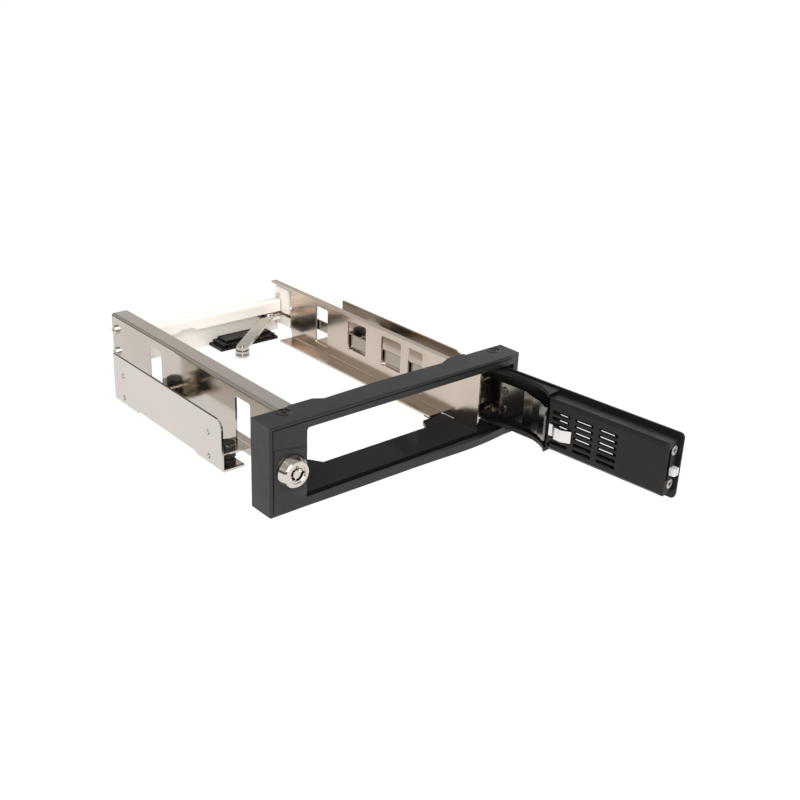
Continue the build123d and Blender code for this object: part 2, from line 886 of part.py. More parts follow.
def make_rear_panel():
    half_sheet = sheet / 2
    cheek = plate_inside - half_sheet
    back = chassis_end - half_sheet
    plan = strip([(-cheek, panel_cheek_front), (-cheek, back), (cheek, back), (cheek, panel_cheek_front)], sheet,
                 bend_radius)
    panel = prism_z(plan, (panel_floor, panel_cheek_top))
    # The web is lower than the cheeks, and the cheeks start above the ledges
    web = plate_inside - sheet - panel_side_gap
    rear = chassis_end + overrun
    above = panel_cheek_top + overrun
    panel -= block((-web, web), (panel_front - panel_shelf_depth, rear), (panel_top - 3 * sheet, above))
    panel -= block((-half_chassis, half_chassis), (panel_front, rear), (panel_top, above))
    cheeks = (panel_cheek_front - overrun, panel_front - panel_side_gap)
    panel -= block((-half_chassis, half_chassis), cheeks, (0, panel_cheek_bottom))
    # Shelf folded forward along the top, with a lip turned down
    shelf_front = chassis_end - panel_shelf_depth
    fold = strip(
        [
            (back, panel_floor + 2 * sheet),
            (back, panel_top - half_sheet),
            (shelf_front + half_sheet, panel_top - half_sheet),
            (shelf_front + half_sheet, panel_lip_bottom),
        ],
        sheet,
        bend_radius,
    )
    panel += prism_x(fold, (clear_gap - web, web - clear_gap))
    lip_notch = connector_left - lip_notch_lead
    lip_y = (shelf_front - overrun, shelf_front + sheet + clear_gap)
    panel -= block((lip_notch, lip_notch + lip_notch_width), lip_y, (0, panel_lip_bottom + lip_notch_height))
    # Shelf that carries the lever's pivot, lanced out of the web
    left = lever_x - lever_shelf_width / 2
    right = lever_x + lever_shelf_width / 2
    lanced = (shelf_top - sheet, shelf_top - sheet + lever_shelf_window)
    panel -= block((left - clear_gap, right + clear_gap), (panel_front - overrun, rear), lanced)
    carrier = strip(
        [
            (back, shelf_top - 2.5 * sheet),
            (back, shelf_top - half_sheet),
            (lever_y - lever_shelf_front, shelf_top - half_sheet),
        ],
        sheet,
        bend_radius,
    )
    panel += prism_x(carrier, (left, right))
    panel -= pin_z(pivot_diameter / 2, lever_x, lever_y, (shelf_top - 2 * sheet, shelf_top + sheet))
    # Stepped way through for the connector
    for left_step, right_step, _, rise in connector_tiers:
        way_left = connector_left + left_step - clear_gap
        way_right = connector_left + connector_width - right_step + clear_gap
        way_z = (0, connector_bottom + rise + clear_gap)
        panel -= block((way_left, way_right), (panel_front - overrun, rear), way_z)
    # Slot for the lever in the right cheek
    cheek_x = (plate_inside - 3 * sheet, plate_inside + overrun)
    slot = window((panel_cheek_front - 3 * overrun, panel_front - lever_slot_gap), lever_slot_z, clear_gap)
    panel -= prism_x(slot, cheek_x)
    for z in rear_screws_left:
        panel -= pin_x(rear_screw / 2, rear_screw_y, z, (-cheek_x[1], -cheek_x[0]))
    for z in rear_screws_right:
        panel -= pin_x(rear_screw / 2, rear_screw_y, z, cheek_x)
    for x in board_screws:
        panel -= pin_y(board_screw / 2, x, board_screw_z, (panel_front - overrun, rear))
    return panel


def make_rear_panel_screws():
    face = half_chassis + rear_screw_head_height
    screws = []
    for side, heights in ((-1, rear_screws_left), (1, rear_screws_right)):
        for z in heights:
            screw = pin_x(rear_screw / 2, rear_screw_y, z, (half_chassis - 4 * sheet, half_chassis))
            screw += pin_x(rear_screw_head / 2, rear_screw_y, z, (half_chassis, face))
            screw -= cross_x(rear_screw_y, z, (face - cross_depth, face + overrun))
            screws.append(screw if side > 0 else mirror(screw, about=Plane.YZ))
    return screws


# Connector, board and rear sockets

def make_drive_connector():
    left = connector_left
    right = connector_left + connector_width
    front = connector_front
    # Three tiers, each set in from the one below at its left, right and front
    tiers = []
    for left_step, right_step, face_step, rise in connector_tiers:
        tier_z = (connector_bottom, connector_bottom + rise)
        tiers.append(block((left + left_step, right - right_step), (front + face_step, chassis_end), tier_z))
    body = tiers[0] + tiers[1] + tiers[2]
    # Data slot and power slot, each with its keyed end
    slot_y = (front - overrun, front + contact_slot_depth)
    slot_bottom = connector_bottom + contact_slot_rise
    slot_top = slot_bottom + contact_slot_height
    data_left = left + contact_slot_inset
    power_left = data_left + data_slot_width + contact_slot_inset
    for start, end in ((data_left, data_left + data_slot_width), (power_left, right - contact_slot_inset)):
        body -= block((start, end), slot_y, (slot_bottom, slot_top))
        body -= block((start, start + contact_key), slot_y, (slot_bottom - contact_slot_height, slot_top))
    return body


def make_backplane_board():
    x = (board_left, board_left + board_width)
    board = block(x, (chassis_end, board_rear), (board_bottom, board_bottom + board_height))
    hole = board_screw / 2 + seat_gap
    for x in board_screws:
        board -= pin_y(hole, x, board_screw_z, (chassis_end - overrun, board_rear + overrun))
    return board


def make_board_screws():
    screws = []
    for x in board_screws:
        screw = pin_y(board_screw / 2, x, board_screw_z, (panel_front - 2 * clear_gap, board_rear))
        screw += pin_y(board_screw_head / 2, x, board_screw_z, (board_rear, board_rear + board_screw_head_height))
        screws.append(screw)
    return screws


def make_data_socket():
    left = board_left + data_socket_inset
    right = left + data_socket_width
    bottom = board_bottom + data_socket_rise
    top = bottom + data_socket_height
    end = board_rear + data_socket_depth
    middle = (bottom + top) / 2
    body = block((left, right), (board_rear, end), (bottom, top))
    hollow = (left + socket_wall, right - socket_wall)
    body -= block(hollow, (board_rear + socket_back, end + overrun), (bottom + socket_wall, top - socket_wall))
    blade = (left + 2 * socket_wall, right - 2 * socket_wall)
    blade_z = (middle - contact_slot_height / 2, middle + contact_slot_height / 2)
    return body + block(blade, (board_rear, end - overrun), blade_z)


def make_power_socket():
    left = board_left + power_socket_inset
    right = left + power_socket_width
    bottom = board_bottom + power_socket_rise
    top = bottom + power_socket_height
    end = board_rear + power_socket_depth
    body = block((left, right), (board_rear, end), (bottom, top))
    hollow = (left + socket_wall, right - socket_wall)
    body -= block(hollow, (board_rear + socket_back, end + overrun), (bottom + socket_wall, top - socket_wall))
    for offset in (-1.5, -0.5, 0.5, 1.5):
        x = (left + right) / 2 + offset * power_pin_pitch
        body += pin_y(power_pin / 2, x, (bottom + top) / 2, (board_rear, end - overrun))
    return body


# Bay brackets and dampers

def make_bracket(tabs):
    """Bay bracket on the right: a side wall with a foot turned in under each damper."""
    inner = half_bay - sheet
    arch_front = bracket_front + bracket_foot_length
    arch_rear = bracket_rear - bracket_foot_length
    arch_top = bracket_foot_z + bracket_arch
    foot = bracket_foot_z + sheet
    wall_shape = Polyline(
        (bracket_front, foot),
        (bracket_front, bracket_top),
        (bracket_rear, bracket_top),
        (bracket_rear, foot),
        (arch_rear, foot),
        (arch_rear - bracket_arch_slope, arch_top),
        (arch_front + bracket_arch_slope, arch_top),
        (arch_front, foot),
        close=True,
    )
    wall = prism_x(make_face(wall_shape), (inner, half_bay))
    corners = [edge for edge in wall.edges().filter_by(Axis.X) if abs(edge.center().Z - bracket_top) < 0.01]
    front_corner = sorted(corners, key=lambda edge: edge.center().Y)[0]
    bracket = fillet(front_corner, bracket_corner)
    foot_section = strip(
        [
            (half_bay - sheet / 2, bracket_foot_z + 4 * sheet),
            (half_bay - sheet / 2, bracket_foot_z + sheet / 2),
            (damper_x - bracket_foot_lap, bracket_foot_z + sheet / 2),
        ],
        sheet,
        bend_radius,
    )
    through_wall = (inner - overrun, half_bay + overrun)
    for start, end in ((bracket_front, arch_front), (arch_rear, bracket_rear)):
        bracket -= block(through_wall, (start, end), (bracket_foot_z - overrun, bracket_foot_z + 3 * sheet))
        bracket += prism_y(foot_section, (start, end))
    for y in tabs:
        bracket -= pin_z(damper_screw / 2, damper_x, y, (bracket_foot_z - overrun, foot + overrun))
    for row in range(2):
        for column in range(2):
            y = bay_screw_first_y + column * bay_screw_pitch_y
            z = bay_screw_low_z + row * bay_screw_pitch_z
            bracket -= pin_x(bay_screw_hole / 2, y, z, through_wall)
    return bracket


def make_damper(x, y):
    """Turned rubber bush with a groove for the chassis tab."""
    foot = bracket_foot_z + sheet
    radius = damper_diameter / 2
    neck = damper_neck / 2
    section = outline(
        (damper_screw / 2 + seat_gap, foot),
        (radius - damper_edge, foot),
        (radius, foot + damper_edge),
        (radius, tab_bottom),
        (neck, tab_bottom),
        (neck, tab_top),
        (radius, tab_top),
        (radius, damper_top - damper_edge),
        (radius - damper_edge, damper_top),
        (damper_screw / 2 + seat_gap, damper_top),
    )
    return Pos(x, y, 0) * revolve(Plane.XZ * section, Axis.Z)


def make_damper_screws():
    screws = []
    for side, tabs in ((-1, left_tabs), (1, right_tabs)):
        for y in tabs:
            x = side * damper_x
            head = pin_z(damper_head / 2, x, y, (damper_top, damper_top + damper_head_height))
            screw = chamfer(head.edges().sort_by(Axis.Z)[-1], damper_head_edge)
            screw += pin_z(damper_screw / 2, x, y, (bracket_foot_z, damper_top + damper_head_height / 2))
            screws.append(screw)
    return screws


# Door

def vent_slots(right, first_z, height, y):
    """Rows of slots through a door wall."""
    slots = []
    for row in range(vent_rows):
        z = first_z + row * vent_pitch
        for column in range(vent_columns):
            end = right - column * vent_column_pitch
            face = window((end - vent_length, end), (z - height / 2, z + height / 2), 0.4 * height)
            slots.append(prism_y(face, y))
    return slots


def make_door_panel():
    """Front of the door: a rimmed skin with screw bosses, latch rails and cheeks by the hinge."""
    face = window((door_left, door_right), (door_bottom, door_top), door_corner)
    panel = prism_y(face, (0, door_rim))
    inner_x = (cover_right + slot_gap, door_right - door_rim_width)
    inner_face = window(inner_x, (door_bottom + cover_wall, door_top - cover_wall), mouth_corner)
    panel -= prism_y(inner_face, (door_skin, door_rim + overrun))
    right_end = panel.edges().filter_by(Axis.Z).filter_by_position(Axis.Y, -0.01, 0.01)
    right_end = [edge for edge in right_end if edge.center().X > door_right - seat_gap]
    panel = fillet(right_end, door_rim - 1.5 * seat_gap)
    # Cheeks above and below the hinge arm
    root = door_skin - 0.5
    cheek_end = hinge_x - cheek_end_gap
    crest = [
        (cover_right, root),
        (cover_right, cover_depth),
        *[(cover_right + lead, cover_depth - drop) for lead, drop in cheek_knots],
        (cheek_end - cheek_end_slope, cover_depth - cheek_end_drop),
        (cheek_end, cover_depth - cheek_end_drop - cheek_end_slope),
        (cheek_end, root),
    ]
    curve = Spline(*crest[1:6])
    base = Polyline(crest[5], crest[6], crest[7], crest[0], crest[1])
    cheek = make_face([curve] + base.edges())
    for z in (cover_bottom - cheek_thickness, cover_top - clear_gap):
        panel += prism_z(cheek, (z, z + cheek_thickness))
    # Bosses of the end screws, rails of the latch and the stop of its spring
    boss_start = cover_left + cover_wall + seat_gap / 2
    boss_x = (boss_start, boss_start + end_screw_length + overrun)
    for z in end_screw_z:
        panel += block(boss_x, (root, end_screw_y + end_boss), (z - end_boss, z + end_boss))
        panel -= pin_x(end_screw / 2, end_screw_y, z, (cover_left - overrun, boss_start + end_screw_length))
    rail_x = (boss_start, latch_stop_x + latch_stop)
    rail_y = (root, latch_front + latch_depth)
    for z in (latch_body_z[0] - slot_gap - latch_rail, latch_body_z[1] + slot_gap):
        panel += block(rail_x, rail_y, (z, z + latch_rail))
    stop_z = (latch_body_z[0] - latch_rail, latch_body_z[1] + latch_rail)
    panel += block((latch_stop_x, latch_stop_x + latch_stop), rail_y, stop_z)
    # Finger slot of the latch
    through = (-overrun, door_rim + overrun)
    finger_x = (latch_tab_x - keeper_gap, latch_tab_x + latch_tab_width + latch_travel + keeper_gap)
    finger_z = (latch_low_z - 2 * clear_gap, latch_low_z + latch_width + 2 * clear_gap)
    panel -= prism_y(window(finger_x, finger_z, keeper_gap), through)
    for slot in vent_slots(panel_vent_right, panel_vent_first_z, panel_vent_height, through):
        panel -= slot
    # Seats of the hinge arm
    for z in arm_rivet_z:
        panel += pin_y(arm_rivet, arm_rivet_x, z, (root, arm_seat_y))
    return swung(panel)


def make_door_cover():
    """Vented inner shell of the door, open towards the panel."""
    cover = block((cover_left, cover_right), (door_rim, cover_depth), (cover_bottom, cover_top))
    back = [edge for edge in cover.edges() if edge.center().Y > cover_depth - 0.01]
    cover = chamfer(back, cover_bevel)
    hollow = block(
        (cover_left + cover_wall, cover_right - cover_wall),
        (door_rim - overrun, cover_inside),
        (cover_bottom + cover_wall, cover_top - cover_wall),
    )
    back = [edge for edge in hollow.edges() if edge.center().Y > cover_inside - 0.01]
    cover -= chamfer(back, cover_bevel * 0.8)
    through = (cover_inside - overrun, cover_depth + overrun)
    for slot in vent_slots(cover_vent_right, cover_vent_first_z, cover_vent_height, through):
        cover -= slot
    # End wall: latch opening, lock slot and countersunk screw holes
    end = (cover_left - overrun, cover_left + cover_wall + overrun)
    opening = window(
        (latch_front - slot_gap, latch_front + latch_depth + slot_gap),
        (latch_low_z - slot_gap, latch_low_z + latch_width + slot_gap),
        clear_gap,
    )
    cover -= prism_x(opening, end)
    cover -= prism_x(window(cam_slot_y, cam_slot_z, keeper_gap), end)
    hole = end_screw / 2 + seat_gap
    for z in end_screw_z:
        cover -= pin_x(hole, end_screw_y, z, end)
        sink = Cone(end_screw_head / 2 + seat_gap, hole, end_screw_sink, align=UP)
        cover -= Pos(cover_left, end_screw_y, z) * Rot(0, 90, 0) * sink
    # Openings beside the hinge arm in the near end
    near_end = (cover_right - cover_wall - overrun, cover_right + overrun)
    high = cover_top - end_window_high - end_window_height
    for z in (cover_bottom + end_window_low, high):
        face = window((cover_depth / 2, cover_inside - slot_gap), (z, z + end_window_height), clear_gap)
        cover -= prism_x(face, near_end)
    spring_hole = (cover_right - pusher_seat_lead, cover_bottom + cover_vent_margin)
    return swung(cover - pin_y(pusher_hole, spring_hole[0], spring_hole[1], through))


def make_door_end_screws():
    screws = []
    start = cover_left + seat_gap / 2
    for z in end_screw_z:
        head = Cone(end_screw_head / 2, end_screw / 2, end_screw_sink - seat_gap, align=UP)
        screw = Pos(start, end_screw_y, z) * Rot(0, 90, 0) * head
        screw += pin_x(end_screw / 2, end_screw_y, z, (start + cross_depth, start + end_screw_length))
        slot_y = (end_screw_y - end_screw, end_screw_y + end_screw)
        screw -= block((cover_left - overrun, start + cross_depth), slot_y, (z - seat_gap, z + seat_gap))
        screws.append(swung(screw))
    return screws


def make_latch_tongue():
    """Sprung tongue with a finger tab that stands in the door's front."""
    rear = latch_front + latch_depth - slot_gap
    end = latch_body_x + latch_body_length
    tip = cover_left - latch_travel
    body = block((latch_body_x, end), (door_rim + clear_gap, rear), latch_body_z)
    tongue_z = (latch_low_z, latch_low_z + latch_width)
    tongue = block((tip, latch_body_x + overrun), (latch_front, rear), tongue_z)
    slope = outline(
        (tip - overrun, rear + overrun),
        (tip - overrun, rear - latch_slope),
        (tip + latch_slope, rear + overrun),
    )
    tongue -= prism_z(slope, (tongue_z[0] - overrun, tongue_z[1] + overrun))
    body += tongue
    body += block((latch_tab_x, latch_tab_x + latch_tab_width), (-latch_tab_proud, door_rim + overrun), tongue_z)
    bore = latch_coil_radius + latch_wire + clear_gap
    return swung(body - pin_x(bore, latch_axis_y, latch_axis_z, (latch_spring_seat, end + overrun)))


def make_latch_spring():
    """Compression spring between the tongue and its stop."""
    start = latch_spring_seat + seat_gap + latch_wire
    length = latch_stop_x - seat_gap / 2 - latch_wire - start
    path = Helix(pitch=length / latch_coils, height=length, radius=latch_coil_radius)
    profile = Plane(origin=path @ 0, z_dir=path % 0) * Circle(latch_wire)
    coil = sweep(profile, path=path, is_frenet=True)
    return swung(Pos(start, latch_axis_y, latch_axis_z) * Rot(0, 90, 0) * coil)


def make_pusher_spring():
    """Leaf spring on the cover that holds the drive in its connector."""
    seat = cover_depth + pusher_thickness / 2
    root = cover_right - pusher_seat_lead
    leaf = strip(
        [
            (root, seat),
            (root - 2.1, seat),
            (root - 4.5, seat + pusher_height - clear_gap),
            (root - 8.5, seat + pusher_height),
            (root - 12.5, seat + seat_gap),
        ],
        pusher_thickness,
        pusher_bend,
    )
    low = cover_bottom + pusher_low
    return swung(prism_z(leaf, (low, low + pusher_width)))


# Hinge arm

def make_hinge_arm():
    """Goose-neck arm of bent sheet with two hinge lugs and the lug of the drive pin."""
    seat = arm_seat_y + sheet / 2
    neck = strip(
        [
            (cover_right + keeper_gap, cover_depth + slot_gap),
            *[(cover_right + lead, cover_depth - drop) for lead, drop in arm_knots],
            (cover_right + arm_flat_lead, seat),
            (hinge_x + lug_radius / 2, seat),
        ],
        sheet,
        arm_bend,
    )
    arm = prism_z(neck, (arm_bottom, arm_top))
    gap_z = (arm_bottom + arm_gap_low, arm_top - arm_gap_high)
    gap = window((hinge_x - arm_gap_length, hinge_x + 2 * lug_radius), gap_z, lug_gap)
    through = (arm_seat_y - overrun, arm_seat_y + sheet + overrun)
    arm -= prism_y(gap, through)
    # Relief slits beside the lugs
    slit_x = (hinge_x - arm_slit_lead, hinge_x - arm_slit_lead + arm_slit_width)
    arm -= block(slit_x, through, (arm_bottom - overrun, arm_bottom + arm_slit_height))
    arm -= block(slit_x, through, (arm_top - arm_slit_height, arm_top + overrun))
    pin_spot = polar(hinge_x, hinge_y, drive_pin_radius, drive_pin_angle)
    for bottom in (arm_bottom, arm_top - sheet):
        limits = (bottom, bottom + sheet)
        bore = (bottom - overrun, bottom + sheet + overrun)
        lug = block((hinge_x - 2 * sheet, hinge_x + lug_radius), (arm_seat_y, hinge_y), limits)
        lug += pin_z(lug_radius, hinge_x, hinge_y, limits)
        if bottom > arm_bottom:
            lug += pin_z(drive_lug_radius, pin_spot[0], pin_spot[1], limits)
            lug += prism_z(bar_between((hinge_x, hinge_y), pin_spot, drive_lug_width), limits)
            lug += block((hinge_x, pin_spot[0]), (arm_seat_y, pin_spot[1]), limits)
            lug -= pin_z(drive_pin / 2, pin_spot[0], pin_spot[1], bore)
        arm += lug - pin_z(hinge_pin / 2 + seat_gap / 2, hinge_x, hinge_y, bore)
    for z in arm_rivet_z:
        arm -= pin_y(arm_rivet / 2, arm_rivet_x, z, through)
    return swung(arm)


def make_arm_rivets():
    rivets = []
    for z in arm_rivet_z:
        face = arm_seat_y + sheet
        rivet = pin_y(arm_rivet / 2, arm_rivet_x, z, (arm_seat_y, face + slot_gap))
        head = pin_y(arm_rivet_head / 2, arm_rivet_x, z, (face, face + arm_rivet_head_height))
        rivets.append(swung(rivet + fillet(head.edges().sort_by(Axis.Y)[-1], clear_gap)))
    return rivets


def make_hinge_pins():
    pins = []
    for start in (chassis_lug_upper - stub_upper_drop, chassis_lug_lower - stub_lower_drop):
        pins.append(pin_z(hinge_pin / 2, hinge_x, hinge_y, (start, start + stub_pin_length)))
    return pins


def make_drive_pin():
    spot = polar(hinge_x, hinge_y, drive_pin_radius, drive_pin_angle)
    return swung(pin_z(drive_pin / 2, spot[0], spot[1], (drive_pin_bottom, arm_top)))


# Push rod

def make_push_rod():
    """Flat rod beside the right plate, with a fork for the drive pin and a window for the lever."""
    closed_pin = polar(hinge_x, hinge_y, drive_pin_radius, drive_pin_angle)
    strip_x = (rod_x, rod_x + sheet)
    neck_top = rod_top - rod_neck_drop
    neck_bottom = rod_bottom + rod_neck_rise
    hook_top = rod_top + rod_hook_height
    tail_top = lever_top + rod_tail_high
    tail_bottom = lever_bottom - rod_tail_low
    slot_half = drive_pin / 2 + yoke_play
    yoke_front = closed_pin[1] - slot_half - yoke_wall
    yoke_rear = closed_pin[1] + slot_half + yoke_wall
    side = outline(
        (plate_front, rod_bottom),
        (plate_front, rod_top),
        (rod_neck_start, rod_top),
        (rod_neck_start + sheet, neck_top),
        (rod_tail_start, neck_top),
        (rod_tail_start + 0.6 * sheet, hook_top),
        (rod_tail_start + 0.6 * sheet + rod_hook_width, hook_top),
        (rod_tail_start + 1.6 * sheet + rod_hook_width, tail_top),
        (rod_tail_end, tail_top),
        (rod_tail_end, tail_bottom),
        (rod_tail_start, tail_bottom),
        (rod_tail_start - sheet, neck_bottom),
        (rod_neck_start + sheet, neck_bottom),
        (rod_neck_start, rod_bottom),
    )
    rod = prism_x(side, strip_x)
    # Slots that ride on the guide rivets
    through = (rod_x - overrun, rod_x + sheet + overrun)
    end = rod_guide_pin / 2 + slot_gap
    side = rod_guide_pin / 2 + seat_gap
    for y in rod_guides:
        slot = window((y - rod_travel - end, y + end), (rod_guide_z - side, rod_guide_z + side), side)
        rod -= prism_x(slot, through)
    # Fork folded outward at the top of the front end
    yoke = outline(
        (rod_x, plate_front),
        (rod_x + yoke_root, plate_front),
        (rod_x + yoke_root, yoke_front),
        (yoke_reach, yoke_front),
        (yoke_reach, closed_pin[1] - slot_half),
        (closed_pin[0] - yoke_mouth, closed_pin[1] - slot_half),
        (closed_pin[0] - yoke_mouth, closed_pin[1] + slot_half),
        (yoke_long_reach, closed_pin[1] + slot_half),
        (yoke_long_reach, yoke_rear),
        (rod_x, yoke_rear),
    )
    rod += prism_z(yoke, (rod_top - sheet, rod_top))
    slot_y = (lever_y_closed - lever_window_half, lever_y_closed + lever_window_half)
    rod -= prism_x(window(slot_y, lever_slot_z, clear_gap), through)
    return Pos(0, rod_travel, 0) * rod


def make_rod_guides():
    """Shoulder rivets in the right plate that carry the rod."""
    guides = []
    head = rod_x + sheet + 1.5 * seat_gap
    for y in rod_guides:
        guide = pin_x(rod_guide_rivet / 2, y, rod_guide_z, (plate_inside, half_chassis + sheet / 2))
        guide += pin_x(guide_washer / 2, y, rod_guide_z, (half_chassis, rod_x - 1.5 * seat_gap))
        guide += pin_x(rod_guide_pin / 2, y, rod_guide_z, (half_chassis, head + seat_gap))
        guide += pin_x(guide_head / 2, y, rod_guide_z, (head, head + 0.8 * sheet))
        guides.append(guide)
    return guides


# Eject lever

def make_eject_lever():
    """Two-armed lever, in the place that it has with the door open."""
    pivot = (lever_x, lever_y)
    tip = polar(lever_x, lever_y, lever_length, lever_open_angle)
    short_tip = polar(lever_x, lever_y, short_arm_length - short_arm_width / 2, short_arm_angle)
    plan = bar_between(pivot, tip, lever_width) + bar_between(pivot, short_tip, short_arm_width)
    lever = prism_z(plan, (lever_bottom, lever_top))
    bore = (lever_bottom - overrun, lever_top + overrun)
    lever -= pin_z(pivot_diameter / 2 + seat_gap / 2, lever_x, lever_y, bore)
    return lever - pin_z(roller_pin / 2, tip[0], tip[1], bore)


def make_eject_roller():
    """Turned pin under the lever's tip, with two flanges that push the drive."""
    tip = polar(lever_x, lever_y, lever_length, lever_open_angle)
    pin = pin_z(roller_pin / 2, tip[0], tip[1], (roller_bottom, lever_top + sheet / 2))
    for bottom in (roller_bottom, roller_bottom + roller_flange + roller_gap):
        pin += pin_z(roller_radius, tip[0], tip[1], (bottom, bottom + roller_flange))
    return pin + pin_z(roller_hub / 2, tip[0], tip[1], (roller_bottom + sheet, lever_bottom))


def make_lever_pivot():
    """Rivet in the rear panel's shelf that the lever turns on."""
    head = lever_top + seat_gap
    rivet = pin_z(pivot_diameter / 2, lever_x, lever_y, (shelf_top - sheet, head + seat_gap))
    rivet += pin_z(pivot_head / 2, lever_x, lever_y, (head, head + cross_depth))
    return rivet + pin_z(pivot_head / 2, lever_x, lever_y, (shelf_top, lever_bottom - seat_gap / 2))


# Lock

def make_lock_body():
    """Collar and threaded barrel of the lock."""
    body_end = lock_barrel_end - 1.5 * sheet
    section = outline(
        (lock_bore, -lock_reach),
        (lock_collar_face - lock_recess, -lock_reach),
        (lock_collar_face, lock_recess - lock_reach),
        (lock_collar_base, -lock_collar_rim),
        (lock_collar_base, 0),
        (lock_barrel, 0),
        (lock_barrel, body_end),
        (lock_bore, body_end),
    )
    body = revolve(section, Axis.Y)
    return Pos(lock_x, 0, lock_height) * body


def make_lock_plug():
    """Plug with a ring keyway round a fixed-looking post."""
    front = -lock_reach - overrun
    ring_end = keyway_depth - lock_reach
    plug = pin_y(lock_bore - seat_gap / 2, 0, 0, (lock_recess - lock_reach, lock_barrel_end - slot_gap))
    plug -= pin_y(keyway_outer, 0, 0, (front, ring_end)) - pin_y(keyway_inner, 0, 0, (front, ring_end + overrun))
    half = key_notch_width / 2
    for angle in (90, 0):
        notch = block((-half, half), (front, key_notch_depth - lock_reach), (keyway_inner, key_notch_reach))
        plug -= Rot(0, angle, 0) * notch
    # Squared tail that carries the cam
    flat = tail_square / 2
    plug += block((-flat, flat), (lock_barrel_end - sheet, cam_tail), (-flat, flat))
    plug -= pin_y(cam_screw / 2, 0, 0, (cam_y - 2.5 * sheet, cam_tail + overrun))
    return Pos(lock_x, 0, lock_height) * plug


def make_lock_cam():
    """Flat cam, pointing up when the lock is open."""
    plan = bar_between((0, 0), (0, cam_reach - cam_width / 2), cam_width)
    plan += Circle(cam_hub)
    cam = prism_y(plan, (cam_y, cam_y + cam_thickness))
    flat = tail_square / 2 + seat_gap / 2
    cam -= block((-flat, flat), (cam_y - overrun, cam_tail + overrun), (-flat, flat))
    return Pos(lock_x, 0, lock_height) * cam


def make_lock_cam_screw():
    head = cam_tail + 0.8 * sheet
    screw = pin_y(cam_screw / 2, lock_x, lock_height, (cam_y - 2.4 * sheet, head))
    screw += pin_y(cam_washer / 2, lock_x, lock_height, (cam_tail, head))
    return screw + pin_y(cam_screw_head / 2, lock_x, lock_height, (head - seat_gap, head + 1.2 * sheet))


def make_lock_nut():
    hexagon = RegularPolygon(lock_nut_flats / 2, 6, major_radius=False, rotation=30)
    nut = prism_y(hexagon, (bezel_wall, bezel_wall + lock_nut_height))
    nut -= pin_y(lock_barrel, 0, 0, (bezel_wall - overrun, bezel_wall + lock_nut_height + overrun))
    return Pos(lock_x, 0, lock_height) * nut


# Write one file for each piece

nodes = {
    "bezel": make_bezel(),
    "bezel_screws": make_bezel_screws(),
    "left_side_plate": make_left_side_plate(),
    "right_side_plate": make_right_side_plate(),
    "rear_panel": make_rear_panel(),
    "rear_panel_screws": make_rear_panel_screws(),
    "drive_connector": make_drive_connector(),
    "backplane_board": make_backplane_board(),
    "board_screws": make_board_screws(),
    "data_socket": make_data_socket(),
    "power_socket": make_power_socket(),
    "right_bay_bracket": make_bracket(right_tabs),
    "left_bay_bracket": mirror(make_bracket(left_tabs), about=Plane.YZ),
    "damper_screws": make_damper_screws(),
    "door_panel": make_door_panel(),
    "door_cover": make_door_cover(),
    "door_end_screws": make_door_end_screws(),
    "latch_tongue": make_latch_tongue(),
    "latch_spring": make_latch_spring(),
    "pusher_spring": make_pusher_spring(),
    "hinge_arm": make_hinge_arm(),
    "arm_rivets": make_arm_rivets(),
    "hinge_pins": make_hinge_pins(),
    "drive_pin": make_drive_pin(),
    "push_rod": make_push_rod(),
    "rod_guides": make_rod_guides(),
    "eject_lever": make_eject_lever(),
    "eject_roller": make_eject_roller(),
    "lever_pivot": make_lever_pivot(),
    "lock_body": make_lock_body(),
    "lock_plug": make_lock_plug(),
    "lock_cam": make_lock_cam(),
    "lock_cam_screw": make_lock_cam_screw(),
    "lock_nut": make_lock_nut(),
}
for side, tabs, sign in (("left", left_tabs, -1), ("right", right_tabs, 1)):
    for place, y in zip(("front", "rear"), tabs):
        nodes[f"{place}_{side}_damper"] = make_damper(sign * damper_x, y)

os.makedirs("parts", exist_ok=True)
for name, shape in nodes.items():
    if isinstance(shape, list):
        shape = Compound(children=shape)
    export_step(shape, f"parts/{name}.step")
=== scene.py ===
"""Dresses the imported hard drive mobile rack: finishes, small fittings, camera, floor and light."""

import logging
import math
from collections.abc import Callable, Sequence
from dataclasses import dataclass, field
from enum import Enum
from typing import Protocol

import bmesh
import bpy
from mathutils import Matrix, Vector


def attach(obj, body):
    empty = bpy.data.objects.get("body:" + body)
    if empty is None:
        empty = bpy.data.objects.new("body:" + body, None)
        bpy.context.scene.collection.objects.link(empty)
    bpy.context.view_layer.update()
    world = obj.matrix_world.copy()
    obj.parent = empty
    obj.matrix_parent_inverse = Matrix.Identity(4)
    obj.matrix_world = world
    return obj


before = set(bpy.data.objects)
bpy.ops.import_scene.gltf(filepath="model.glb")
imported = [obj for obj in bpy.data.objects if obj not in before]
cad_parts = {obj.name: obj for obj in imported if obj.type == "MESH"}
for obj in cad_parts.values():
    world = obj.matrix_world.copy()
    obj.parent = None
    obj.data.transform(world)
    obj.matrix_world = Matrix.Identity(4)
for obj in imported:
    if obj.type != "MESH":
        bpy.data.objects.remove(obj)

MM = 0.001
NOISE_MIDDLE = (0.3, 0.7)
WHITE = (1.0, 1.0, 1.0, 1.0)
LOG = logging.getLogger("rack")
Limits = tuple[float, float]
Colour = tuple[float, float, float]
Socket = bpy.types.NodeSocket
Piece = bpy.types.Object


class Axis(Enum):
    """Direction that brushing lines or a turned piece follow."""

    X = 0
    Y = 1
    Z = 2


class Body(Enum):
    """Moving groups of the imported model."""

    CHASSIS = "chassis"
    DOOR = "door"
    LATCH = "latch"
    PLUG = "lock_plug"


# Node graph helpers


